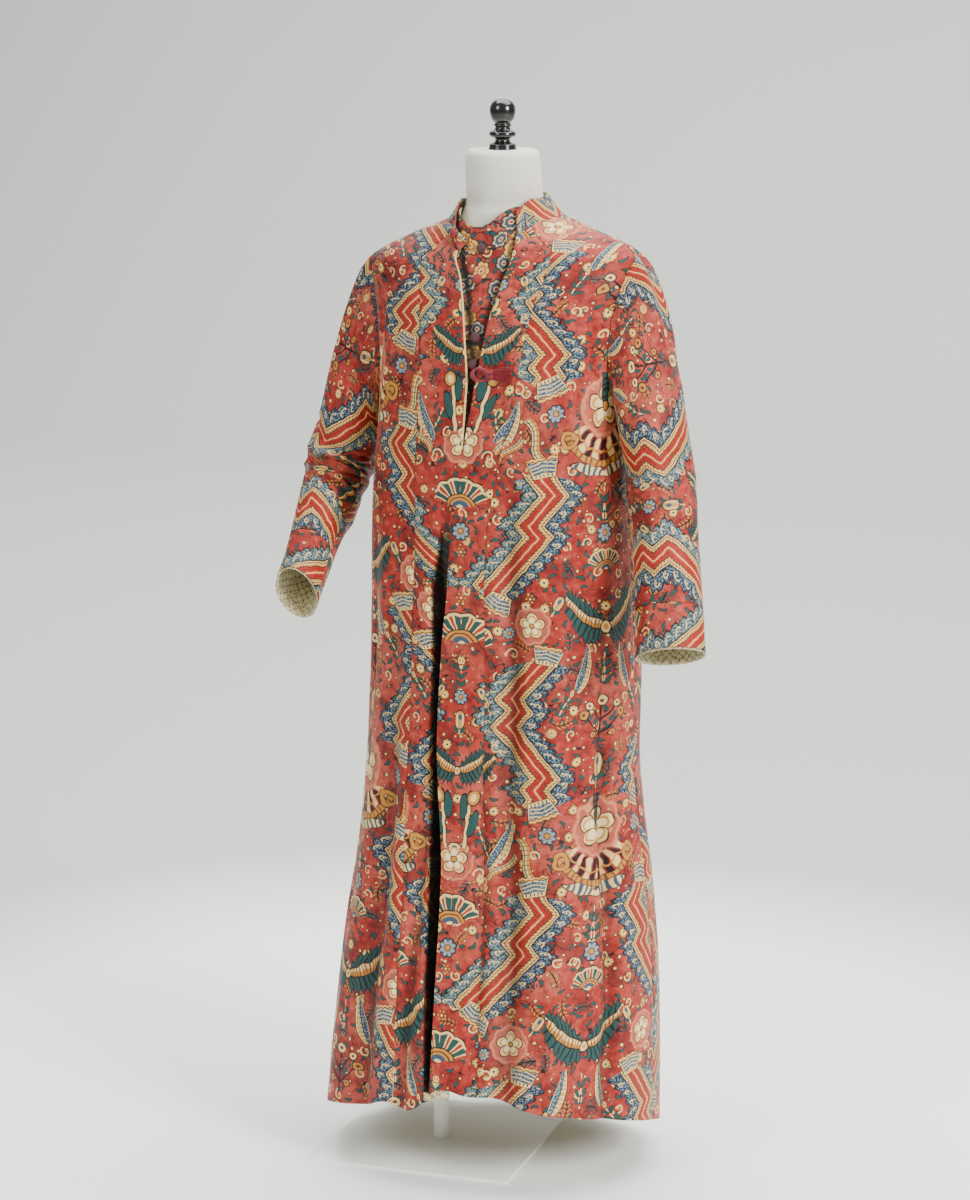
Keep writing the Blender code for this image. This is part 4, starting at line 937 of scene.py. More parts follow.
def collar_point(theta, v):
    """Point of the collar at a share of its height, and the level direction out of the neck."""
    base = body_point(theta, neck_height(theta))
    away = from_neck(base)
    lean = collar_lean(theta)
    points = base - away * (COLLAR_HEIGHT * v * np.sin(lean))[..., None]
    points[..., 2] += COLLAR_GAP + COLLAR_HEIGHT * v * np.cos(lean)
    return leaning(points), away


def collar(looks):
    """Stand band that rises from the neckline, leaning to the neck, with a little unevenness;
    its right end is rounded out in a tab."""
    theta_row, _, split = centre_columns(np.array([NECK_HEIGHT]))
    left_end = theta_row[0, split]
    right_end = theta_row[0, split - 1] + 2 * math.pi
    tab_start = theta_row[0, 0] + 2 * math.pi
    angles = np.linspace(left_end, right_end, COLLAR_STEPS)
    levels = np.linspace(0, 1, COLLAR_ROWS)
    v, theta = np.meshgrid(levels, angles, indexing="ij")
    at_tab = ease(tab_start, angles[-1], theta)
    v = v * (1 - TAB_DROP * at_tab)
    theta = theta + TAB_BULGE * np.sin(math.pi * v) * at_tab
    points, away = collar_point(theta, v)
    wave = 0.0007 * np.sin(13 * theta + 4 * v) * v + 0.0004 * np.sin(29 * theta + 1.0) * v
    wave += COLLAR_LIFT * bell(theta - angles[0], 0.14) - 0.0006 * bell(1 - levels[:, None], 0.10)
    points += away * wave[..., None]
    across = around(theta, 0 * theta + NECK_HEIGHT, math.pi) + 0.06
    place = np.stack([v * COLLAR_HEIGHT + 0.078, across + 0.235], -1)
    return new_cloth("collar_cloth", points, grid_faces(*theta.shape), WALL, looks, away, place)


def collar_spot(degrees, level):
    """A place on the collar and its neighbours."""
    theta = math.radians(degrees) + SPOT / NECK[0][1] * BESIDE
    return collar_point(theta, level + SPOT / COLLAR_HEIGHT * ABOVE)[0]


def under_point(theta, z, inset):
    """Point and normal of the under-fronts: inside the gown's front they follow its body, near
    the neckline the normal turns level, and above it they stand up, leaning to the neck."""
    top = neck_height(theta)
    low = np.minimum(z, top)
    normal = body_normal(theta, low)
    flat = from_neck(body_point(theta, low))
    mix = (1 - ease(0.0, UNDER_TURN, top - low))[..., None]
    mixed = unit(normal * (1 - mix) + flat * mix)
    rise = np.maximum(z - top, 0.0)
    inward = rise * np.tan(collar_lean(theta))
    points = body_point(theta, low) - mixed * inset - flat * inward[..., None]
    points[..., 2] += rise
    return points, mixed


def under_front(name, from_angle, to_angle, inset, shift, looks):
    """One of the two under-fronts, closed by the buttons; small puckers lie between them."""
    degrees = np.linspace(from_angle, to_angle, UNDER_STEPS)[None, :]
    theta = np.radians(degrees)
    rise = neck_height(theta) + table_curve(UNDER_FRONT_RISE, 1, degrees) - UNDER_FRONT_END
    heights = UNDER_FRONT_END + rise * np.linspace(0, 1, UNDER_STEPS)[:, None]
    full = theta + 0 * heights
    points, normals = under_point(full, heights, inset)
    pucker = 0.0 * full
    size, lift, tall, wide = PUCKER
    for z, angle, _ in BUTTONS:
        pucker -= size * bell(heights - z - lift, tall) * bell(degrees - angle, wide)
    # Painted shadow in the troughs beside the slit's edges, kept as the dark attribute
    dark = 0.0 * full
    for column, trough, width, deep, shade_darkness in SLIT_TROUGHS:
        near = bell(degrees - table_curve(FRONT_LINES, column, heights) - trough, width)
        pucker -= deep * near * (1 - ease(*SLIT_TROUGHS_END, heights))
        dark = np.maximum(dark, shade_darkness * near)
    points += normals * pucker[..., None]
    place = body_print(full, np.minimum(heights, NECK_HEIGHT), 0.0)
    place[..., 1] = heights - PRINT_START
    return new_cloth(name, leaning(points), grid_faces(*full.shape), UNDER_WALL, looks, normals,
                     place + np.array(shift), dark=dark)


def frame_of(axis):
    """Two directions square to an axis and to each other."""
    axis = unit(np.array(axis, float))
    side = unit(np.cross(axis, [0.0, 0.0, 1.0]) if abs(axis[2]) < 0.9
                else np.cross(axis, [0.0, 1.0, 0.0]))
    return side, np.cross(axis, side), axis


def spun(name, profile, steps, middle, axis, look, waves=None):
    """Turned piece: a profile of radius and height, from the axis to the axis, carried round
    it. waves may add a height that depends on the angle and the radius."""
    side, over, axis = frame_of(axis)
    angle = np.linspace(0, 2 * math.pi, steps, endpoint=False)
    body = np.array(profile[1:-1])
    radius = body[:, :1] + 0 * angle
    height = body[:, 1:] + 0 * angle
    if waves is not None:
        height = height + waves(angle, radius)
    rings = (radius[..., None] * (np.cos(angle)[:, None] * side + np.sin(angle)[:, None] * over)
             + height[..., None] * axis)
    ends = np.array([profile[0][1] * axis, profile[-1][1] * axis])
    points = np.concatenate([rings.reshape(-1, 3), ends]) + np.array(middle)
    low = len(points) - 2
    quads = grid_faces(len(body), steps, closed=True)
    j = np.arange(steps)
    k = (j + 1) % steps
    top = (len(body) - 1) * steps
    bottom_fan = np.stack([k, j, 0 * j + low], -1)
    top_fan = np.stack([top + j, top + k, 0 * j + low + 1], -1)
    faces = quads.tolist() + bottom_fan.tolist() + top_fan.tolist()
    return new_piece(name, points, faces, [look])


def smooth_profile(profile, fine):
    """The same profile with points added on a smooth curve through its points."""
    table = [(i, *row) for i, row in enumerate(profile)]
    at = np.linspace(0, len(profile) - 1, fine * (len(profile) - 1) + 1)
    radius = np.clip(table_curve(table, 1, at), 0.0, None)
    height = table_curve(table, 2, at)
    return list(zip(radius.tolist(), height.tolist()))


def gathers(angle, radius):
    """Faint pleats of the cloth that is drawn over a button: a wave round it that grows
    towards its edge."""
    return 0.00012 * np.cos(11 * angle) * (radius / 0.007) ** 2


def sewn_on(name, near, look):
    """Button on a surface, given its middle there and points beside, above and below it."""
    normal = unit(np.cross(near[1] - near[2], near[3] - near[4]))
    piece = spun(name, smooth_profile(BUTTON_PROFILE, 3), 44, near[0] + normal * BUTTON_GAP,
                 normal, look, gathers)
    return piece, normal


def stitched_bar(name, middle, along, normal, length, width, look):
    """Worked buttonhole: a low ridge whose section is half an ellipse, with the ripple of its
    stitches along it."""
    t = np.linspace(-1, 1, 61)
    a = np.linspace(0, 2 * math.pi, 12, endpoint=False)
    taper = np.sqrt(np.clip(1 - t ** 8, 0.02, 1))[:, None]
    ripple = 1 + 0.14 * np.sin(t * 95.0)[:, None]
    across = np.cross(normal, along)
    points = (np.asarray(middle) + (t * length / 2)[:, None, None] * along
              + (np.cos(a) * taper * ripple * width / 2)[..., None] * across
              + (np.sin(a) * taper * ripple * width * 0.28)[..., None] * normal)
    return new_piece(name, points.reshape(-1, 3), capped_faces(len(t), len(a)), [look])


def tassel_point(run, side, lift):
    """Point beside the tassel's line over the front: run along it, side up and lift out."""
    z = TASSEL_HEIGHT + 0 * run
    theta = math.radians(TASSEL_ANGLE) + run / table_curve(SECTIONS, 1, TASSEL_HEIGHT)
    normal = body_normal(theta, z)
    points = leaning(draped(theta, z) + normal * (TASSEL_LIFT + lift)[..., None])
    points[..., 2] += side
    return points


def round_tubes(centres, radius, sides):
    """Closed tubes along paths: centres has one path in each row, in the tassel's own run,
    side and lift; every section is a regular polygon square to the run of the path."""
    ahead = unit(np.gradient(centres, axis=1))
    up = np.array([0.0, 0.0, 1.0])
    left = unit(np.cross(ahead, up) + np.array([1e-4, 0, 0]))
    over = np.cross(left, ahead)
    a = np.linspace(0, 2 * math.pi, sides, endpoint=False)
    section = (np.cos(a)[:, None] * left[:, :, None] + np.sin(a)[:, None] * over[:, :, None])
    rings = centres[:, :, None] + radius[..., None, None] * section
    paths, steps = centres.shape[:2]
    faces = [[path * steps * sides + k for k in face]
             for path in range(paths) for face in capped_faces(steps, sides)]
    return rings.reshape(-1, 3), faces


def tassel(look):
    """Silk tassel on the slit's left edge: three loops and a wound collar for its knot, and a
    skirt of strands that spreads to the wearer's left."""
    t = np.linspace(0, 2 * math.pi, 49)
    big = TASSEL_SCALE
    loops = []
    for turn, size_run, size_side, middle in ((0.0, 0.0070, 0.0062, 0.0075),
                                              (0.9, 0.0060, 0.0070, 0.0085),
                                              (-0.8, 0.0066, 0.0056, 0.0070)):
        long, wide = size_run * np.cos(t), size_side * np.sin(t)
        loops.append(np.stack([middle + long * math.cos(turn) - wide * math.sin(turn),
                               long * math.sin(turn) + wide * math.cos(turn),
                               0.0016 * np.sin(2 * t + turn * 2)], -1))
    for run in (0.0150, 0.0168, 0.0186):
        loops.append(np.stack([run + 0.0004 * np.sin(t), 0.0044 * np.cos(t),
                               0.0030 * np.sin(t)], -1))
    loops = np.array(loops)
    loops[:, -1] = loops[:, 0]
    flat_loops = tassel_point(loops[..., 0] * big + TASSEL_START, loops[..., 1] * big,
                              loops[..., 2])
    thick = np.repeat([0.0020, 0.0014], 3)[:, None] + 0 * t
    knot_points, knot_faces = round_tubes(flat_loops, thick, 8)
    # The strands start at the points of a sunflower's spiral
    index = np.arange(STRANDS)[:, None]
    golden = index * 2.399963
    spread = np.sqrt((index + 0.5) / STRANDS)
    s = np.linspace(0, 1, 9)[None, :]
    run = 0.0180 + (0.0185 + 0.0022 * np.sin(12.9 * index)) * s
    side = (0.0042 * spread * np.cos(golden) * (1 + 1.25 * s ** 0.8)
            + 0.0007 * np.sin(7.3 * index + 5 * s) - 0.0018 * s ** 2)
    lift = (0.0028 * spread * np.sin(golden) * (1 - 0.25 * s)
            + 0.0003 * np.sin(3.1 * index + 6 * s))
    strands = tassel_point(run * big + TASSEL_START, side * big, lift)
    slim = 0.00046 * (1 - 0.35 * s) + 0 * run
    strand_points, strand_faces = round_tubes(strands, slim, 4)
    shift = len(knot_points)
    faces = knot_faces + [[k + shift for k in face] for face in strand_faces]
    return new_piece("silk_tassel", np.concatenate([knot_points, strand_points]), faces, [look])


def hem_facing(rows, looks):
    """Scrap of lining that hangs just below the hem, from the deep fold's mouth to the left."""
    theta, _, split = centre_columns(rows[:1])
    fold = table_curve(DEEP_FOLD, 1, row_height(0.0, rows[:1]))[0] * math.pi / 180
    lip = FACING_LIP * fold_mouth(DEEP_FOLD[0][3], HEM_HEIGHT)
    end = theta[0, split] + (theta[0, -1] - theta[0, split]) / 3
    angle = np.linspace(fold - lip * FACING_MOUTH, end, 60)
    top = hem_height(np.maximum(angle, fold + lip)) - FACING_GAP
    level = np.linspace(1, 0, 9)[:, None]
    ragged = 0.0008 * np.sin(angle * 160) + 0.0006 * np.sin(angle * 63 + 1)
    z = top - (HEM_FACING_DROP - ragged) * level
    angle = angle + 0 * z
    normal = body_normal(angle, z)
    points = leaning(draped(angle, z) - normal * FACING_BACK)
    place = np.stack([angle * 0.2, z], -1)
    return new_cloth("hem_facing_scrap", points, grid_faces(*z.shape), LINING_WALL, looks,
                     normal, place)


def dress_form(look):
    """Limbless torso with its neck: level rings that follow the body inside the cloth, and
    circles up the neck, whose top edge is rounded over."""
    steps = 96
    angle = np.linspace(0, 2 * math.pi, steps, endpoint=False)
    edge = FORM_BOTTOM + FORM_EDGE_HEIGHT
    low = np.concatenate([np.linspace(FORM_BOTTOM, edge, 8)[:-1],
                          np.linspace(edge, FORM_ROWS[0], 30),
                          np.linspace(FORM_ROWS[0], FORM_ROWS[-1], 26)[1:]])
    seat = np.linspace(FORM_ROWS[-1], NECK_HEIGHT, 14)[1:]
    from_ridge = np.abs(np.abs(wrapped(np.degrees(angle))) - 90.0)
    z = low[:, None] + 0 * angle
    th = angle + 0 * z
    clear = FORM_CLEAR + FORM_TOP_CLEAR * ease(FORM_ROWS[1], FORM_ROWS[-1], z)
    clear += FORM_HIP_CLEAR * (1 - ease(*FORM_HIP, z))
    clear += FORM_EDGE * (1 - ease(FORM_BOTTOM, edge, z))
    level = body_normal(th, z) * np.array([1.0, 1.0, 0.0])
    torso = body_point(th, z) - level * clear[..., None]
    z = seat[:, None] + 0 * angle
    th = angle + 0 * z
    near = bell(from_ridge, SEAT_WIDTH) * ease(FORM_ROWS[-1], SHOULDER_TIP, z)
    clear = FORM_CLEAR + 0.003 * ease(NECK_HEIGHT, FORM_ROWS[-1], z)
    clear = clear - (clear - WALL - SEAT_GAP) * near
    shoulders = body_point(th, z) - body_normal(th, z) * clear[..., None]
    heights = np.concatenate([np.linspace(NECK[0][0], NECK[-2][0], 30), NECK_EDGE])
    radius = table_curve(NECK, 1, heights)[:, None]
    neck = np.stack([AXIS_X + radius * np.sin(angle),
                     AXIS_Y + table_curve(NECK, 2, heights)[:, None] - radius * np.cos(angle),
                     heights[:, None] + 0 * angle], -1)
    rings = leaning(np.concatenate([torso, shoulders, neck]))
    rings[-1][:, 2] = NECK_TOP
    return new_piece("dress_form", rings.reshape(-1, 3), capped_faces(len(rings), steps), [look])


def stand_plate(look):
    """Flat square plate: its outline, with slightly rounded corners, at each level of a
    profile that rounds its edges."""
    per_side = 16
    corner = 0.004
    half = PLATE_SIDE / 2 - corner
    a = np.linspace(0, math.pi / 2, per_side)
    outline = []
    for turn, sx, sy in ((0, 1, 1), (1, -1, 1), (2, -1, -1), (3, 1, -1)):
        outline.append(np.stack([sx * half + corner * np.cos(a + turn * math.pi / 2),
                                 sy * half + corner * np.sin(a + turn * math.pi / 2)], 1))
    outline = np.concatenate(outline)
    outward = unit(outline - np.clip(outline, -half, half))
    levels = ((0.0008, 0.0), (0.0002, 0.0003), (0.0, 0.0009), (0.0, 0.0031), (0.0002, 0.0037),
              (0.0008, PLATE_THICK))
    cos, sin = math.cos(PLATE_TURN), math.sin(PLATE_TURN)
    turned = np.array([[cos, sin], [-sin, cos]])
    rings = [np.concatenate([(outline - outward * inset) @ turned,
                             np.full((len(outline), 1), z)], 1) for inset, z in levels]
    return new_piece("stand_plate", np.concatenate(rings),
                     capped_faces(len(levels), len(outline)), [look])


class Field:
    """A number, place or colour that changes over a surface: an output in a material's tree.
    Sums, products and limits of numbers are Math nodes."""

    def __init__(self, tree, socket):
        self.tree = tree
        self.socket = socket

    def output(self, place):
        """Another output of the same node."""
        return Field(self.tree, self.socket.node.outputs[place])

    def math(self, operation, *others, clamp=False):
        return new_node(self.tree, "ShaderNodeMath", dict(enumerate((self, *others))), 0,
                        operation=operation, use_clamp=clamp)

    def __add__(self, other):
        return self.math("ADD", other)

    def __sub__(self, other):
        return self.math("SUBTRACT", other)

    def __mul__(self, other):
        return self.math("MULTIPLY", other)

    def __truediv__(self, other):
        return self.math("DIVIDE", other)

    def __abs__(self):
        return self.math("ABSOLUTE")

    def sin(self):
        return self.math("SINE")

    def lobes(self, count):
        """Row of half waves, all upwards."""
        return abs((self * count).sin())

    def fold(self, length):
        return self.math("PINGPONG", length)

    def wrap(self, length):
        return self.math("FLOORED_MODULO", length)

    def under(self, limit, soft=SOFT_EDGE):
        """1 where the number is below the limit and 0 above it, with a soft change."""
        if isinstance(limit, Field):
            return (limit - self).math("MULTIPLY_ADD", 1 / soft, 0.5, clamp=True)
        return self.math("MULTIPLY_ADD", -1 / soft, limit / soft + 0.5, clamp=True)

    def over(self, limit, soft=SOFT_EDGE):
        return self.math("MULTIPLY_ADD", 1 / soft, 0.5 - limit / soft, clamp=True)

    def rising(self, start, gain):
        """0 up to the start, and from there rising by the gain to 1."""
        return (self - start).math("MULTIPLY", gain, clamp=True)


def new_node(tree, kind, inputs, output, **settings):
    """Shader node with its settings and inputs, given as one of its outputs."""
    node = tree.nodes.new(kind)
    for word, value in settings.items():
        setattr(node, word, value)
    for place, item in inputs.items():
        feed(node.inputs[place], item)
    return Field(tree, node.outputs[output])


def feed(socket, item):
    """Links a Field to a socket, or sets a constant on it."""
    if isinstance(item, Field):
        item.tree.links.new(item.socket, socket)
    else:
        socket.default_value = item


def hypot(p, q):
    return (p * p + q * q).math("SQRT")


def rgb(red, green, blue):
    """Linear colour from the usual 0 to 255 numbers."""
    value = np.array([red, green, blue]) / 255.0
    linear = np.where(value <= 0.04045, value / 12.92, ((value + 0.055) / 1.055) ** 2.4)
    return (*linear.tolist(), 1.0)


RED = rgb(156, 42, 32)
DEEP_RED = rgb(92, 12, 12)
PINK = rgb(190, 94, 74)
CREAM = rgb(228, 194, 124)
CREAM_LIGHT = rgb(238, 214, 156)
OCHRE = rgb(188, 126, 48)
BROWN = rgb(96, 44, 28)
BLUE = rgb(52, 73, 93)
PALE_BLUE = rgb(134, 156, 161)
GREY_BLUE = rgb(86, 108, 112)
TEAL = rgb(30, 70, 66)
DARK = rgb(24, 12, 14)
# Dark ink of the print, which also colours the painted shade of the folds and the slit
INK_AND_SHADE = rgb(14, 26, 26)
CORE_RED = rgb(162, 40, 26)
HALO = rgb(206, 124, 86)


class Paint:
    """A new material, with colours laid one over another on its ground colour."""

    def __init__(self, name, ground):
        self.made = bpy.data.materials.new(name)
        self.made.use_nodes = True
        self.tree = self.made.node_tree
        self.colour = ground

    def lay(self, colour, mask):
        self.colour = new_node(self.tree, "ShaderNodeMix", {0: mask, 6: self.colour, 7: colour},
                               2, data_type="RGBA")

    def rings(self, distance, *layers, soft=SOFT_EDGE, on=None):
        """Lays colours one after another, each inside its own limit of a distance."""
        for colour, limit in layers:
            inside = distance.under(limit, soft)
            self.lay(colour, inside if on is None else inside * on)

    def solid(self):
        """Object coordinates."""
        return new_node(self.tree, "ShaderNodeTexCoord", {}, "Object")

    def map(self, name):
        """Coordinates of one of the cloth's UV maps."""
        return new_node(self.tree, "ShaderNodeUVMap", {}, 0, uv_map=name)

    def attribute(self, name):
        return new_node(self.tree, "ShaderNodeAttribute", {}, "Fac", attribute_name=name)

    def finish(self, rough, relief=None, distance=0.0, strength=1.0, constants=()):
        """Joins the colour, the roughness and the bump to the surface shader, and sets its
        constant sockets."""
        inputs = self.tree.nodes["Principled BSDF"].inputs
        feed(inputs["Base Color"], self.colour)
        feed(inputs["Roughness"], rough)
        for word, value in constants:
            feed(inputs[word], value)
        if relief is not None:
            feed(inputs["Normal"], new_node(
                self.tree, "ShaderNodeBump",
                {"Distance": distance, "Strength": strength, "Height": relief}, 0))
        return self.made


def split(vector):
    """The three numbers of a place or colour."""
    first = new_node(vector.tree, "ShaderNodeSeparateXYZ", {0: vector}, 0)
    return first, first.output(1), first.output(2)


def noise(place, scale, detail, dimensions="2D", out="Fac"):
    return new_node(place.tree, "ShaderNodeTexNoise",
                    {"Scale": scale, "Detail": detail, "Vector": place}, out,
                    noise_dimensions=dimensions)


def cells(place, scale, random, out):
    """Scattered points: the distance to the nearest, or its own colour or place."""
    return new_node(place.tree, "ShaderNodeTexVoronoi",
                    {"Scale": scale, "Randomness": random, "Vector": place}, out,
                    voronoi_dimensions="2D")


def shaken(place, shaky, size):
    """A place moved by a noise's colour times a size."""
    return new_node(place.tree, "ShaderNodeVectorMath",
                    {0: shaky, 1: (size, size, 0.0), 2: place}, 0, operation="MULTIPLY_ADD")


def hand_curve(at, points):
    """Straight lines through given points, as a function of a number from 0 to 1."""
    node = at.tree.nodes.new("ShaderNodeFloatCurve")
    curve = node.mapping.curves[0]
    curve.points[0].location = points[0]
    curve.points[1].location = points[-1]
    for point in points[1:-1]:
        curve.points.new(*point)
    for point in curve.points:
        point.handle_type = "VECTOR"
    node.mapping.update()
    feed(node.inputs["Value"], at)
    return Field(at.tree, node.outputs[0])


def zigzag_bands(paint, s, t):
    """Zigzag bands, by the distance from a middle line that steps to and fro up the cloth: a
    red core with a pale line, cream and ochre stripes, and stippled borders, blue on one side
    and paler on the other, with scalloped edges and cream scrolls."""
    line = [(up / TILE_HEIGHT, at / TILE_WIDTH) for up, at in ZIGZAG]
    across = (s - hand_curve(t / TILE_HEIGHT, line) * TILE_WIDTH) * BAND_SQUEEZE
    a = abs(across)
    ends = (abs(t - 0.153) - 0.110).math("MINIMUM", abs(t - 0.433) - 0.096)
    shown = (ends + a * 0.45).under(0.0, 0.0015)
    along = t * BAND_RUN
    edge = a - along.lobes(math.pi / 0.0150) * 0.0055
    paint.rings(edge, (DARK, 0.0318), (GREY_BLUE, 0.0296), on=shown)
    zone = edge.under(0.0296) * shown
    paint.lay(BLUE, zone * across.over(0.0))
    paint.lay(INK_AND_SHADE, paint.dots.over(0.46, 0.10) * zone * 0.7)
    paint.lay(PALE_BLUE, paint.dots.under(0.24, 0.10) * edge.under(0.0280) * shown * 0.75)
    k = along.wrap(0.0190) - 0.0095
    c = a - 0.0248
    curl = (abs(hypot(k, c) - 0.0044).under(0.0008) * (k * 0.9 + c).over(-0.0018)).math(
        "MAXIMUM", hypot(k - 0.0012, c).under(0.0012))
    paint.lay(CREAM, curl * shown)
    paint.rings(a, (DARK, 0.0182), (CREAM, 0.0164), on=shown)
    speck = abs((along * 560.0).sin() * (across * 760.0).sin())
    paint.lay(OCHRE, speck.over(0.22, 0.3) * a.under(0.0155) * shown * 0.85)
    paint.lay(BROWN, speck.over(0.80, 0.1) * a.under(0.0155) * shown * 0.8)
    paint.lay(BROWN, abs(a - 0.0136).under(0.0006, 0.0004) * shown * 0.8)
    paint.lay(DARK, a.under(0.0094, 0.0005) * shown)
    paint.lay(CORE_RED, a.under(0.0080) * shown)
    streak = along.lobes(330.0)
    paint.lay(DEEP_RED, abs(a - 0.0050).under(0.0007) * streak.over(0.35, 0.2) * shown * 0.8)
    paint.lay(CREAM, a.under(0.0010) * shown * streak.over(0.10, 0.2) * 0.85)


def strewn(place, x, y, scale):
    """One small thing in each cell of a scatter, turned at random: two of the cell's random
    numbers, the distances along and beside the thing, and the distance from its middle."""
    near = cells(place, scale, 0.8, "Color")
    spin, first, second = split(near)
    at_x, at_y, _ = split(near.output("Position"))
    turn = spin * (2 * math.pi)
    cos, sin = (turn + math.pi / 2).sin(), turn.sin()
    dx, dy = x - at_x, y - at_y
    return first, second, dx * cos + dy * sin, dy * cos - dx * sin, hypot(dx, dy)


def scattered(paint, place, x, y):
    """Small things strewn over the ground: fine teal leaves, dots and rings, and between them
    larger daisies, scrolls and leafy twigs."""
    pick, size, along, beside, away = strewn(place, x, y, 62.0)
    leaf = hypot(along, beside * 2.4 + along * along * 150.0)
    paint.rings(leaf, (DARK, 0.0064), (TEAL, 0.0050), on=pick.over(0.50, 0.02))
    paint.rings(away, (DARK, size * 0.0014 + 0.0018), (CREAM, size * 0.0014 + 0.0009),
                on=pick.under(0.50, 0.02))
    pick, shade, along, beside, away = strewn(place, x, y, 27.0)
    angle = along.math("ARCTAN2", beside)
    is_daisy = pick.under(0.26, 0.02)
    paint.rings(away - angle.lobes(4.0) * 0.0016,
                (DARK, 0.0072), (OCHRE, 0.0060), (CREAM, 0.0038), on=is_daisy)
    paint.lay(DARK, away.under(0.0016) * is_daisy)
    is_scroll = pick.over(0.26, 0.02) * pick.under(0.55, 0.02)
    paint.lay(CREAM, abs(away - angle * 0.0008 - 0.0052).under(0.0011) * is_scroll)
    paint.lay(OCHRE, away.under(0.0020) * is_scroll)
    inside = abs(along).under(0.0125) * pick.over(0.55, 0.02)
    bent = abs(beside - along * along * 18.0)
    paint.lay(DARK, bent.under(0.0009) * inside)
    step = (along + bent * -0.7).wrap(0.0062) - 0.0031
    pair = hypot(step * 1.9, bent - 0.0034)
    paint.rings(pair, (DARK, 0.0036), (TEAL, 0.0028), on=inside)
    paint.lay(OCHRE, pair.under(0.0026) * inside * shade.over(0.45, 0.02))


def posies(paint, place, x, y):
    """Close print of the under-fronts: flower heads in ochre and blue with dark rims, a cream
    ring and a row of leaves round each, on a darker ground."""
    pick, _, along, beside, away = strewn(place, x, y, 34.0)
    lobes = along.math("ARCTAN2", beside).lobes(3.5)
    head = away - lobes * 0.0026
    leaf = hypot(abs(along) - 0.0125, beside * 1.7)
    paint.rings(leaf, (DARK, 0.0072), (TEAL, 0.0058))
    paint.rings(head, (DARK, 0.0112), (OCHRE, 0.0098))
    paint.lay(BLUE, head.under(0.0098) * pick.over(0.5, 0.02))
    paint.lay(CREAM, abs(head - 0.0072).under(0.0009))
    paint.lay(DARK, lobes.under(0.20, 0.1) * head.under(0.0090) * away.over(0.003))
    paint.rings(away, (CREAM, 0.0034), (RED, 0.0020))


def petals(paint, r, angle, size):
    """Five cream petals with an ochre line in each, round a dark ring with a pale heart."""
    petal = abs((angle * 2.5 + math.pi / 4).sin())
    out = r / size
    body = out - petal.math("SQRT") * 0.52
    paint.rings(body, (DARK, 0.50), (CREAM, 0.42), soft=0.05)
    paint.lay(OCHRE, abs(body - 0.22).under(0.05, 0.04))
    paint.lay(CREAM_LIGHT, body.under(0.12, 0.04))
    paint.lay(DARK, petal.under(0.17, 0.1) * out.over(0.2, 0.04) * body.under(0.45, 0.04))
    paint.rings(r, (DARK, size * 0.22), (OCHRE, size * 0.15), soft=0.02)


def draw_bloom(paint, p, q):
    """Large flower in a soft halo on a striped stem, over a fan of rays with a corded rim and
    two drooping striped leaves."""
    x = p * 0.90
    low = q - 0.24
    r = hypot(x, low)
    angle = x.math("ARCTAN2", low * -1.0)
    part = abs(angle).under(1.24, 0.03)
    ray = (angle * 15.0).sin()
    cloth = r.under(0.82, 0.02) * r.over(0.40, 0.02) * part
    paint.lay(RED, cloth)
    paint.lay(CREAM, ray.over(0.25, 0.2) * cloth)
    paint.lay(DARK, ray.under(-0.45, 0.2) * cloth)
    paint.lay(OCHRE, abs(r - 0.60 - angle.lobes(7.5) * 0.05).under(0.018, 0.01) * part)
    rim = abs(r - 0.84)
    paint.rings(rim, (DARK, 0.070), (OCHRE, 0.052), soft=0.02, on=part)
    paint.lay(BROWN, (angle * 46.0).sin().over(0.4, 0.3) * rim.under(0.05, 0.02) * part * 0.8)
    side = abs(x)
    loop = abs(hypot(side - 0.74, q + 0.14) - 0.13)
    paint.rings(loop, (DARK, 0.050), (OCHRE, 0.034), soft=0.02)
    leaf = hypot((side - 0.30) * 1.6, (q + 0.78 - side * 0.28) * 6.2)
    paint.rings(leaf, (DARK, 0.66), (CREAM, 0.58), soft=0.05)
    paint.lay(BLUE, leaf.under(0.58, 0.05) * (side * 44.0 + q * 20.0).sin().over(0.1, 0.3))
    up = q - 0.42
    ring = hypot(x, up)
    turn = up.math("ARCTAN2", x)
    halo = ring - turn.lobes(4.5) * 0.05
    paint.lay(PINK, halo.under(0.52, 0.10) * 0.6)
    paint.lay(HALO, abs(halo - 0.47).under(0.035, 0.03) * 0.8)
    petals(paint, ring, turn, 0.40)
    stem = abs(x + up * 0.1)
    paint.lay(DARK, stem.under(0.062, 0.02) * up.over(0.06, 0.02))
    paint.lay(TEAL, stem.under(0.046, 0.02) * up.over(0.08, 0.02)
              * (q * 62.0).sin().over(-0.3, 0.3))


def draw_flower(paint, p, q):
    """Five-petal flower inside a soft halo with a wavy rim."""
    r = hypot(p, q)
    angle = q.math("ARCTAN2", p)
    halo = r - angle.lobes(4.5) * 0.08
    paint.lay(PINK, halo.under(0.86, 0.10) * 0.6)
    paint.lay(HALO, abs(halo - 0.80).under(0.045, 0.04) * 0.8)
    petals(paint, r, angle, 0.66)


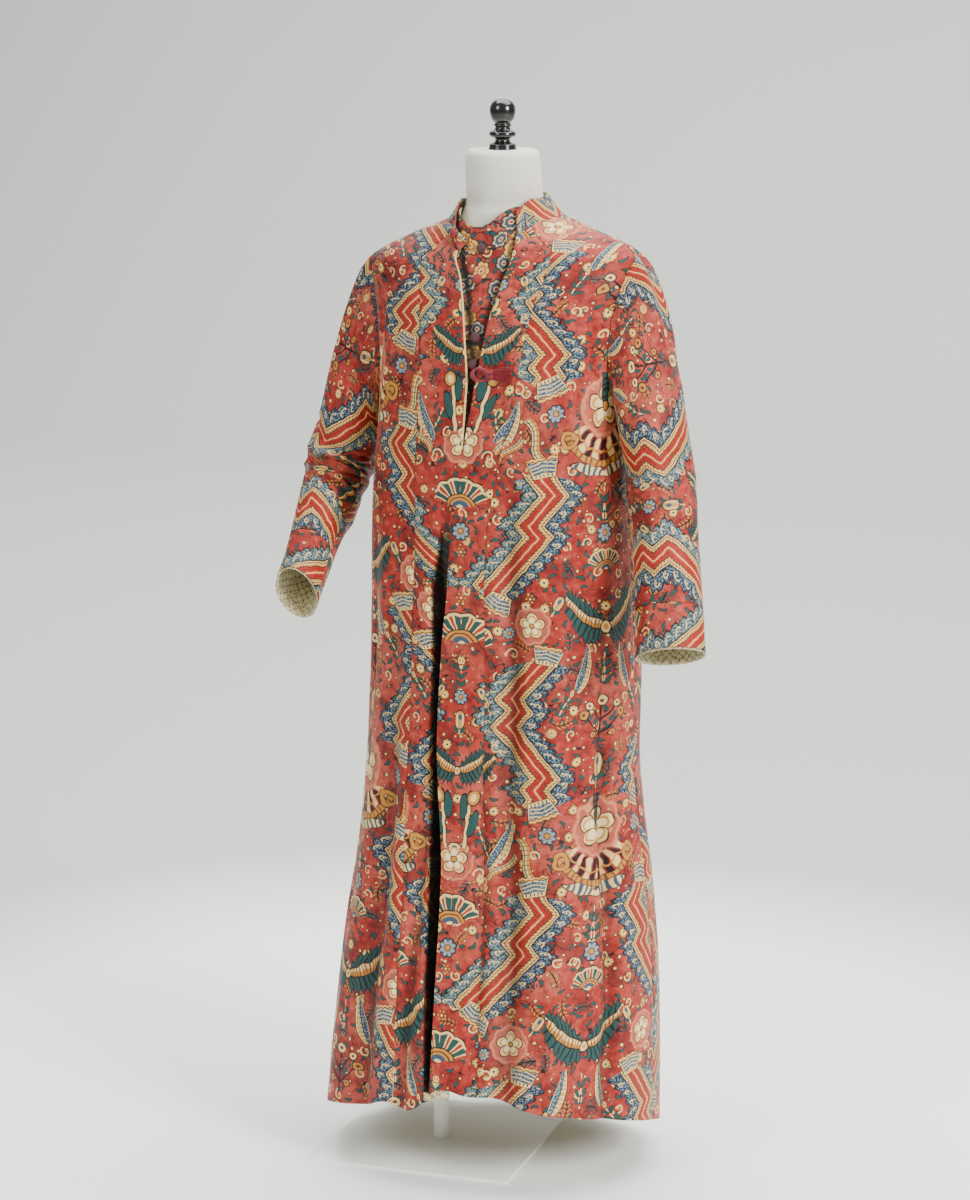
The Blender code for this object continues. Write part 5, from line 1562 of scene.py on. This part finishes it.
def draw_leaves(paint, p, q):
    """A pair of feathered leaves that spread upwards from a small bud: each is a bow about a
    rising line, saw-toothed, with dark strokes and an ochre crescent in it."""
    x = abs(p)
    y = q * 0.70
    d = y - x * x * 0.60 + 0.22
    bow = (x * (x * -1.0 + 1.02)).math("MAXIMUM", 0.0).math("SQRT") * 0.80
    u = x - abs(d) * 0.45
    outer = abs(d + 0.03) - bow + (u * 10.0).wrap(1.0) * 0.11
    paint.rings(outer, (DARK, 0.016), (TEAL, -0.010), soft=0.02)
    paint.lay(INK_AND_SHADE, (u * 62.8 + 1.6).sin().over(0.40, 0.4) * outer.under(-0.03, 0.02))
    middle = abs(d - 0.02) - bow * 0.20
    paint.rings(middle, (DARK, 0.030), (OCHRE, 0.004), soft=0.02)
    inside = middle.under(0.0, 0.02)
    paint.lay(CREAM, inside * (d - 0.02).over(0.0, 0.03))
    paint.lay(BROWN, inside * (x * 80.0 + y * 30.0).sin().over(0.5, 0.4))
    paint.rings(hypot(p, y + 0.23), (DARK, 0.115), (CREAM, 0.085), (OCHRE, 0.045), soft=0.02)


def draw_pod(paint, p, q):
    """Curved pod: one half cream with a chain of rings, the other blue and stippled."""
    half = (q * q * -1.0 + 1.0).math("MAXIMUM", 0.0001).math("SQRT") * (q * -0.30 + 0.60)
    bent = (p + q * q * 0.36 - 0.16) / half
    d = abs(bent)
    body = abs(q).under(0.97, 0.02)
    paint.rings(d, (DARK, 1.08), (CREAM, 0.94), soft=0.06, on=body)
    ring = hypot(bent - 0.42, (q * 5.5).wrap(1.0) * 1.1 - 0.55)
    paint.lay(BROWN, abs(ring - 0.26).under(0.07, 0.06) * d.under(0.90, 0.05) * body)
    inner = bent.under(-0.02, 0.06) * d.under(0.84, 0.06) * body
    paint.lay(BLUE, inner)
    paint.lay(PALE_BLUE, paint.dots.under(0.28, 0.12) * inner)
    paint.lay(DARK, d.under(0.07, 0.04) * body)


def draw_fan(paint, p, q):
    """Fan of rays over a small half round, with a scalloped rim."""
    low = q + 0.60
    r = hypot(p, low)
    angle = p.math("ARCTAN2", low)
    part = abs(angle).under(1.28, 0.03)
    ray = (angle * 14.0).sin()
    rim = r - angle.lobes(7.0) * 0.10
    paint.rings(rim, (DARK, 1.32), (CREAM, 1.26), soft=0.03, on=part)
    paint.lay(TEAL, rim.under(1.14, 0.03) * ray.over(0.30, 0.2) * part)
    paint.lay(RED, rim.under(1.14, 0.03) * ray.under(-0.72, 0.2) * part)
    paint.lay(DARK, abs(ray - 0.2).under(0.14, 0.1) * rim.under(1.18, 0.03) * part)
    paint.rings(r, (DARK, 0.66), (OCHRE, 0.61), soft=0.03, on=part)
    paint.lay(BROWN, abs(r - 0.48).under(0.03, 0.02) * part)
    paint.rings(r, (BLUE, 0.36), (CREAM, 0.16), soft=0.03, on=part)


def draw_rosette(paint, p, q):
    """Round blue flower of eight petals."""
    r = hypot(p, q)
    lobes = q.math("ARCTAN2", p).lobes(4.0)
    rim = r - lobes * 0.14
    paint.rings(rim, (DARK, 0.84), (BLUE, 0.74), soft=0.05)
    paint.lay(PALE_BLUE, lobes.over(0.75, 0.1) * rim.under(0.66, 0.05))
    paint.lay(CREAM, lobes.under(0.2, 0.1) * rim.under(0.60, 0.05))
    paint.rings(r, (DARK, 0.34), (OCHRE, 0.26), soft=0.04)


def draw_sprig(paint, p, q):
    """Upright stem with pairs of small leaves and a bud at its tip."""
    bent = p - (q * 2.6).sin() * 0.16
    paint.lay(CREAM, abs(bent).under(0.07, 0.03) * abs(q).under(0.86, 0.03))
    x = abs(bent) - 0.36
    y = (q * 1.9).wrap(1.0) - 0.5 - x * 0.9
    paint.rings(hypot(x * 2.9, y * 3.0), (DARK, 1.04), (TEAL, 0.84), soft=0.08,
                on=q.under(0.52, 0.02) * q.over(-0.95, 0.02))
    paint.rings(hypot(bent, q - 0.72), (DARK, 0.28), (CREAM, 0.22), (OCHRE, 0.12), soft=0.03)


def draw_curl(paint, p, q):
    """Scroll that opens round a dot."""
    r = hypot(p, q)
    angle = q.math("ARCTAN2", p)
    paint.lay(CREAM, abs(r - angle * 0.10 - 0.46).under(0.085, 0.05))
    paint.lay(OCHRE, r.under(0.17, 0.05))
    paint.lay(CREAM, hypot(p + 0.86, q - 0.3).under(0.12, 0.05))
    paint.lay(CREAM, hypot(p - 0.3, q + 0.86).under(0.12, 0.05))


def draw_bud(paint, p, q):
    """Tulip-shaped bud on a short stem."""
    x = abs(p)
    paint.lay(CREAM, x.under(0.075, 0.04) * q.under(-0.2, 0.03) * q.over(-0.95, 0.03))
    paint.lay(TEAL, hypot(x * 1.7 - 0.62, (q + 0.62 - x * 0.5) * 3.2).under(0.56, 0.06))
    cup = hypot(p * 1.65, (q - 0.24) * 1.45)
    paint.rings(cup, (DARK, 1.0), (OCHRE, 0.87), soft=0.06)
    inside = cup.under(0.87, 0.06)
    paint.lay(CREAM, inside * p.lobes(6.0).over(0.6, 0.2))
    paint.lay(DARK, abs(x - 0.19).under(0.03, 0.03) * inside)
    paint.lay(BLUE, hypot(p * 2.2, (q - 0.42) * 1.6).under(0.36, 0.06))


def draw_ribbon(paint, p, q):
    """Waving ribbon in stripes with cross lines."""
    c = p - (q * 2.7).sin() * 0.42
    ends = abs(q).under(0.93, 0.02)
    paint.rings(abs(c), (DARK, 0.40), (CREAM, 0.33), soft=0.04, on=ends)
    inside = abs(c).under(0.33, 0.04) * ends
    paint.lay(OCHRE, c.over(0.06, 0.03) * inside)
    paint.lay(BROWN, abs((q * 17.0 + c * 3.0).sin()).under(0.25, 0.12) * inside)
    paint.lay(TEAL, abs(c + 0.16).under(0.06, 0.03) * ends)


def draw_berries(paint, p, q):
    """Six berries round one."""
    r = hypot(p, q)
    k = (q.math("ARCTAN2", p) + math.pi).fold(math.pi / 6) * 0.58
    paint.rings(hypot(k, r - 0.60), (DARK, 0.24), (OCHRE, 0.18), soft=0.04)
    paint.rings(r, (DARK, 0.27), (CREAM, 0.20), soft=0.04)


def draw_stems(paint, p, q):
    """Two cream stems that spread upwards to small flowers, with a teal leaf on each."""
    x = abs(p)
    line = x - q * 0.26 - 0.36 + (q * 3.2).sin() * 0.05
    paint.rings(abs(line), (DARK, 0.075), (CREAM, 0.048), soft=0.02,
                on=q.under(0.62, 0.03) * q.over(-0.90, 0.03))
    for leaf in (hypot((line - 0.18) * 5.0, (q + 0.12 - line) * 2.6),
                 hypot((line + 0.20) * 5.0, (q - 0.26 + line) * 2.6)):
        paint.rings(leaf, (DARK, 0.78), (TEAL, 0.66), soft=0.05)
    flower = hypot(x - 0.54, q - 0.68)
    paint.rings(flower, (DARK, 0.20), (OCHRE, 0.165), (CREAM, 0.09), soft=0.02)
    foot = hypot(p, (q + 0.62) * 1.1)
    paint.rings(foot, (DARK, 0.235), (CREAM, 0.20), (BLUE, 0.13), soft=0.02)


def draw_spray(paint, p, q):
    """Little bush: dark branches that rise from one foot, with teal leaves and cream and
    ochre berries at their tips."""
    x = abs(p)
    trunk = x.under(0.035, 0.02) * abs(q + 0.1).under(0.72, 0.02)
    first = abs(q + 0.52 - x * 1.20).under(0.045, 0.02) * x.under(0.62, 0.02)
    second = abs(q + 0.06 - x * 1.30).under(0.045, 0.02) * x.under(0.46, 0.02)
    paint.lay(DARK, trunk.math("MAXIMUM", first).math("MAXIMUM", second))
    step = ((x + q * 0.4) * 5.0).wrap(1.0) - 0.5
    leaf = hypot(step * 1.3, (q - x * 1.20 + 0.30) * 3.2)
    paint.lay(TEAL, leaf.under(0.40, 0.08) * x.under(0.64, 0.02) * x.over(0.10, 0.02))
    for at_x, at_y, size, colour in ((0.66, 0.26, 0.14, OCHRE), (0.50, 0.58, 0.12, CREAM),
                                     (0.0, 0.70, 0.17, CREAM), (0.34, -0.42, 0.10, OCHRE)):
        paint.rings(hypot(x - at_x, q - at_y), (DARK, size + 0.035), (colour, size),
                    (BROWN, size * 0.4), soft=0.02)


def draw_cup(paint, p, q):
    """Calyx that closes a band: a bowl of blue and cream chevrons under a scalloped ochre
    brim, with a row of teeth at its foot."""
    x = abs(p)
    bowl = (x - (q * 0.22 + 0.66)).math("MAXIMUM", abs(q) - 0.62)
    paint.rings(bowl, (DARK, 0.05), (CREAM, 0.0), soft=0.03)
    rows = abs((q * 3.4 + x * 1.2).wrap(1.0) - 0.5)
    paint.lay(BLUE, rows.under(0.36, 0.08) * bowl.under(-0.04, 0.03) * q.over(-0.34, 0.02))
    paint.lay(PALE_BLUE, paint.dots.under(0.28, 0.12) * rows.under(0.26, 0.08)
              * bowl.under(-0.08, 0.03) * q.over(-0.28, 0.02))
    teeth = p.lobes(16.0).under(0.5, 0.2) * q.under(-0.34, 0.02)
    paint.lay(DARK, teeth * bowl.under(-0.03, 0.03) * q.over(-0.56, 0.02))
    brim = abs(q - 0.70 - p.lobes(9.0) * 0.10)
    for colour, limit, end in ((DARK, 0.17, 0.84), (OCHRE, 0.11, 0.80), (CREAM, 0.035, 0.78)):
        paint.lay(colour, brim.under(limit, 0.03) * x.under(end, 0.03))


DRAWINGS = {draw.__name__.split("_")[1]: draw for draw in (
    draw_bloom, draw_leaves, draw_pod, draw_fan, draw_rosette, draw_sprig, draw_curl, draw_bud,
    draw_ribbon, draw_berries, draw_flower, draw_stems, draw_spray, draw_cup)}


def weave(u, v, pitch):
    """Height of a plain weave: threads both ways that rise in turn."""
    return (u * (math.pi / pitch)).sin() * (v * (math.pi / pitch)).sin()


def printed_cotton(kind):
    """Painted and glazed cotton: a worn red ground with small seeds, the zigzag bands and one
    kind of motif."""
    paint = Paint("painted_cotton_" + kind, RED)
    flat = paint.map("cloth")
    solid = paint.solid()
    shaky = noise(flat, 55.0, 1.0, out="Color")
    drawn = shaken(flat, shaky, 0.0042)
    u, v, _ = split(drawn)
    worn = noise(solid, 9.0, 5.0, "3D")
    brush = noise(flat, 95.0, 4.0)
    patch = noise(flat, 22.0, 3.0)
    paint.lay(PINK, worn.rising(0.44, 4.5) * 0.72)
    paint.lay(PINK, (brush * -1.0).rising(-0.42, 7.0) * 0.5)
    paint.lay(DEEP_RED, patch.rising(0.50, 6.0) * 0.60)
    paint.lay(DEEP_RED, brush.rising(0.50, 5.0) * 0.55)
    # Fine dark tendrils: level lines of a noise, here and there
    vein = abs(noise(drawn, 46.0, 1.0) - 0.5)
    paint.lay(DARK, vein.under(0.010, 0.006) * patch.rising(0.47, 20.0))
    scattered(paint, drawn, u, v)
    paint.dots = cells(drawn, 300.0, 1.0, "Distance")
    if kind == "under":
        posies(paint, drawn, u, v)
    else:
        zigzag_bands(paint, u.fold(TILE_WIDTH), v.wrap(TILE_HEIGHT))
    if kind in DRAWINGS:
        p, q, _ = split(shaken(paint.map("motif"), shaky, 0.12))
        DRAWINGS[kind](paint, p - 0.06, q - 0.06)
    paint.lay(CREAM, paint.attribute("piped").over(PIPING_FROM, 0.0003))
    # Wear: the paint thins in soft patches and in fine flecks
    fleck = noise(flat, 420.0, 2.0)
    paint.lay(PINK, fleck.rising(0.60, 5.0) * worn.rising(0.40, 2.0) * 0.6)
    # Painted shade from the dark attribute: the deep fold, the soft folds' troughs and the
    # under-fronts beside the slit
    paint.lay(INK_AND_SHADE, paint.attribute("dark"))
    relief = weave(*split(flat)[:2], 0.0009) * 0.10 + noise(solid, 75.0, 3.0, "3D") * 1.3
    return paint.finish(brush * 0.16 + 0.44, relief, 0.0016, 0.55, (
        ("Sheen Weight", 0.05), ("Sheen Roughness", 0.4), ("Specular IOR Level", 0.24)))


def printed_lining():
    """Pale cotton with a small darker print."""
    paint = Paint("printed_lining", rgb(214, 204, 160))
    flat = paint.map("cloth")
    u, v, _ = split(flat)
    tone = noise(flat, 30.0, 3.0)
    paint.lay(rgb(186, 172, 122), tone.rising(0.4, 2.4))
    row = abs((u * 520.0).sin() + (v * 520.0).sin() * 0.9)
    paint.lay(rgb(132, 120, 78), row.under(0.34, 0.2) * 0.8)
    spot = cells(flat, 130.0, 1.0, "Distance")
    paint.lay(rgb(104, 92, 60), spot.under(0.20, 0.1) * 0.8)
    return paint.finish(tone * 0.1 + 0.75, weave(u, v, 0.0008), 0.0002,
                        constants=(("Sheen Weight", 0.2),))


def plain_cloth(name, colour, deep, scale, rough, pitch):
    """Cloth of one colour on Object coordinates, with soft changes of tone and a fine rib."""
    paint = Paint(name, colour)
    solid = paint.solid()
    x, y, z = split(solid)
    tone = noise(solid, scale, 3.0, "3D")
    fine = noise(solid, scale * 12, 2.0, "3D")
    paint.lay(deep, tone.rising(0.42, 2.6) * 0.7)
    paint.lay(deep, fine.rising(0.5, 3.0) * 0.4)
    return paint.finish(fine * 0.12 + rough, weave(z, x + y, pitch) * 0.5 + fine, 0.0004,
                        constants=(("Sheen Weight", 0.08),))


def silk():
    """Twisted silk: fine bright and dark lines along slanting threads."""
    paint = Paint("crimson_silk", rgb(124, 8, 22))
    solid = paint.solid()
    x, _, z = split(solid)
    thread = ((z + x * 0.7) * 5200.0).sin() * 0.5 + 0.5
    tone = noise(solid, 160.0, 3.0, "3D")
    paint.lay(rgb(64, 2, 12), tone.rising(0.4, 3.0))
    paint.lay(rgb(172, 30, 42), thread.over(0.7, 0.3) * 0.6)
    return paint.finish(tone * 0.15 + 0.34, thread, 0.0002, constants=(("Sheen Weight", 0.10),))


def painted(name, colour, shade, rough, scale, depth, coat):
    """Paint on metal or wood: slight changes of tone, fine dust in its gloss and a faint
    orange peel."""
    paint = Paint(name, colour)
    solid = paint.solid()
    tone = noise(solid, scale, 4.0, "3D")
    fine = noise(solid, scale * 20, 2.0, "3D")
    paint.lay(shade, tone.rising(0.45, 2.5) * 0.6)
    return paint.finish(fine * 0.14 + rough, fine * 0.4 + tone, depth,
                        constants=(("Coat Weight", coat), ("Coat Roughness", 0.08)))


def studio_paper():
    """Painted pool of light: white near the object, greyer away from it."""
    paint = Paint("studio_paper", rgb(254, 254, 252))
    solid = paint.solid()
    x, y, _ = split(solid)
    away = hypot(x, y) + noise(solid, 0.6, 2.0, "3D") * 0.3
    paint.lay(rgb(196, 196, 193), away.rising(1.20, 1.8))
    return paint.finish(0.75)


def backdrop(look):
    """Floor that curves up into a wall behind: a straight run, a quarter circle and a
    straight rise, carried across."""
    radius = 1.6
    start = 5.6
    reach = 30.0
    a = np.linspace(0, math.pi / 2, 40)
    y = np.concatenate([[-reach], start + radius * np.sin(a), [start + radius]])
    z = np.concatenate([[0.0], radius * (1 - np.cos(a)), [6.0]])
    x, y = np.meshgrid(np.linspace(-reach, reach, 3), y)
    points = np.stack([x, y, np.repeat(z[:, None], 3, 1)], -1).reshape(-1, 3)
    new_mesh("studio_floor", points, grid_faces(len(z), 3), [look])


def soft_light(name, place, target, size, power, colour):
    """Rectangular light that shines from its place towards a target."""
    light = bpy.data.lights.new(name, "AREA")
    light.shape = "RECTANGLE"
    light.size, light.size_y = size
    light.energy = power
    light.color = colour
    lamp = bpy.data.objects.new(name, light)
    lamp.location = place
    aim = np.array(target, float) - np.array(place, float)
    level = math.hypot(aim[0], aim[1])
    lamp.rotation_euler = (math.atan2(level, -aim[2]), 0.0, math.atan2(-aim[0], aim[1]))
    bpy.context.collection.objects.link(lamp)


def camera():
    """The photo's camera: its lens, place, tilt and turn."""
    lens = bpy.data.cameras.new("camera")
    lens.sensor_width = FRAME
    lens.lens = LENS
    lens.clip_end = 60.0
    eye = bpy.data.objects.new("camera", lens)
    eye.location = EYE
    eye.rotation_euler = (math.radians(90.0 - TILT), 0.0, math.radians(TURN))
    bpy.context.collection.objects.link(eye)
    bpy.context.scene.camera = eye


def dressed(piece, node):
    """Hides the imported node that a piece stands for."""
    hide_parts(node)


camera()
lining = printed_lining()
chintz = [printed_cotton(kind) for kind in KINDS] + [lining]
rows = panel_rows()
quarter = math.pi / 2

centre_cloth = front_centre(rows, chintz)
left_cloth = panel("front_left_cloth", front_line(4, 1), side_line(quarter, -1), SIDE_STEPS,
                   rows, 0.0, (0.006, 0.012), chintz)
right_cloth = panel("front_right_cloth", side_line(-quarter, 1), front_line(1, -1), SIDE_STEPS,
                    rows, 0.0, (-0.012, -0.050), chintz)
back_cloth = panel("back_cloth", side_line(quarter, 1), side_line(3 * quarter, -1), BACK_STEPS,
                   rows, math.pi, (0.0, 0.155), chintz)
dressed(centre_cloth, "front_centre")
dressed(left_cloth, "front_left_side")
dressed(right_cloth, "front_right_side")
dressed(back_cloth, "back")

cuff_start = 1 - CUFF_SHARE
# The cap's rings are closer together at the armhole
cap = -np.cos(np.linspace(0, quarter, CAP_RINGS))[:-1]
sleeve_places = np.concatenate([cap, np.linspace(0.0, cuff_start, SLEEVE_RINGS)])
cuff_places = np.linspace(cuff_start + CUFF_SEAM, 1.0, CUFF_RINGS)
cuff_dip = seam_dip(cuff_places - cuff_places[0], CUFF_DIP_REACH)
lining_places = np.concatenate([np.linspace(cuff_start + CUFF_LINING_START, 0.985, 24),
                                [0.994, 1.002, 1.007, 1.009]])
# The lining lies inside the cuff and rolls out to its edge at the mouth
deep = WALL + 2 * SEAM
lip = np.full(len(lining_places), deep)
lip[-3:] = (deep - 0.0002, deep - 0.0010, deep - 0.0020)
for word, side, shift in (("right", -1, (0.315, 0.23)), ("left", 1, (0.310, 0.10))):
    sleeve = tube("sleeve_cloth_" + word, side, sleeve_places, chintz, shift)
    dressed(sleeve, "sleeve_" + word)
    cuff = tube("cuff_cloth_" + word, side, cuff_places, chintz, (0.012, shift[1] + 0.26),
                inset=cuff_dip)
    dressed(cuff, "cuff_" + word)
    facing = tube("cuff_lining_cloth_" + word, side, lining_places, [lining, lining], (0, 0),
                  LINING_WALL, lip)
    dressed(facing, "cuff_lining_" + word)

dressed(collar(chintz), "collar")
posy = [printed_cotton("under"), lining]
under_left = under_front("under_front_left", -8.0, 50.0, UNDER_INSET_LEFT, (0.016, -0.14), posy)
under_right = under_front("under_front_right", -52.0, 3.0, UNDER_INSET_RIGHT, (0.10, 0.26),
                          posy)
dressed(under_left, "waistcoat_left")
dressed(under_right, "waistcoat_right")
dressed(hem_facing(rows, [lining, lining]), "hem_facing")

brick = plain_cloth("brick_button_cloth", rgb(150, 34, 26), rgb(96, 18, 18), 120.0, 0.60,
                    0.0006)
dusky = plain_cloth("dusky_button_cloth", rgb(84, 30, 34), rgb(26, 38, 58), 160.0, 0.60, 0.0006)
thread = plain_cloth("dark_thread", rgb(18, 8, 10), rgb(10, 6, 10), 200.0, 0.55, 0.0004)
pale_thread = plain_cloth("pale_thread", rgb(206, 184, 136), rgb(176, 150, 104), 200.0, 0.6,
                          0.0004)
for i, (z, angle, tone) in enumerate(BUTTONS):
    theta = math.radians(angle) + SPOT / table_curve(SECTIONS, 1, z) * BESIDE
    near = leaning(under_point(theta, z + SPOT * ABOVE, UNDER_INSET_LEFT)[0])
    button, normal = sewn_on(f"covered_button_{i + 1}", near,
                             brick if tone == "brick" else dusky)
    dressed(button, f"button_{i + 1}")
    along = unit(near[1] - near[2])
    length, width, past, lift = BUTTONHOLE
    bar = stitched_bar(f"buttonhole_{i + 1}", near[0] + along * past + normal * lift,
                       along, normal, length, width, thread)
near = collar_spot(BUTTONHOLE_ANGLE, 0.30)
normal = unit(np.cross(near[1] - near[2], near[3] - near[4]))
along = unit(unit(near[1] - near[2]) + 0.12 * unit(near[3] - near[4]))
for name, out, length, wide, look in (("collar_buttonhole", 0.0032, 0.0190, 0.0052, pale_thread),
                                      ("collar_slit", 0.0042, 0.0155, 0.0025, thread)):
    stitched_bar(name, near[0] + normal * out, along, normal, length, wide, look)
button, _ = sewn_on("covered_collar_button", collar_spot(COLLAR_BUTTON_ANGLE, 0.5), brick)
dressed(button, "collar_button")

dressed(tassel(silk()), "tassel")
jersey = plain_cloth("form_jersey", rgb(232, 228, 216), rgb(214, 208, 194), 20.0, 0.72, 0.0009)
dressed(dress_form(jersey), "form")
white = painted("stand_white_paint", rgb(251, 251, 247), rgb(243, 243, 239), 0.40, 14.0,
                0.00006, 0.1)
black = painted("finial_black_gloss", rgb(18, 17, 18), rgb(30, 26, 24), 0.14, 40.0, 0.00004,
                0.6)
dressed(stand_plate(white), "base_plate")
foot = PLATE_THICK + TOUCH
top = FORM_BOTTOM - TOUCH
pole = spun("stand_pole", ((0, foot), (POLE_RADIUS, foot), (POLE_RADIUS, foot + 0.001),
                           (POLE_RADIUS, top), (0, top)), 56, (0, 0, 0), (0, 0, 1), white)
dressed(pole, "pole")
finial = spun("turned_finial", smooth_profile(FINIAL_PROFILE, 4), 72,
              (AXIS_X, AXIS_Y, NECK_TOP + TOUCH), (0, 0, 1), black)
dressed(finial, "finial")

backdrop(studio_paper())
soft_light("key", (4.4, -1.9, 3.0), (0.1, 0.0, 0.8), (1.5, 1.9), 388.0, (1.0, 0.99, 0.97))
soft_light("fill", (-2.0, -4.2, 3.4), (0.1, 0.0, 1.0), (2.0, 2.4), 126.0, (0.98, 0.99, 1.0))
soft_light("top", (0.3, 0.9, 4.6), (0.3, 0.7, 0.0), (5.0, 3.4), 385.0, (1.0, 1.0, 1.0))
soft_light("behind", (-1.8, 4.4, 4.8), (-2.4, 6.4, 0.3), (7.0, 3.0), 385.0, (1.0, 1.0, 1.0))
world = bpy.data.worlds.new("studio")
world.use_nodes = True
air = world.node_tree.nodes["Background"].inputs
air[0].default_value = (0.80, 0.80, 0.79, 1.0)
air[1].default_value = 0.36
bpy.context.scene.world = world
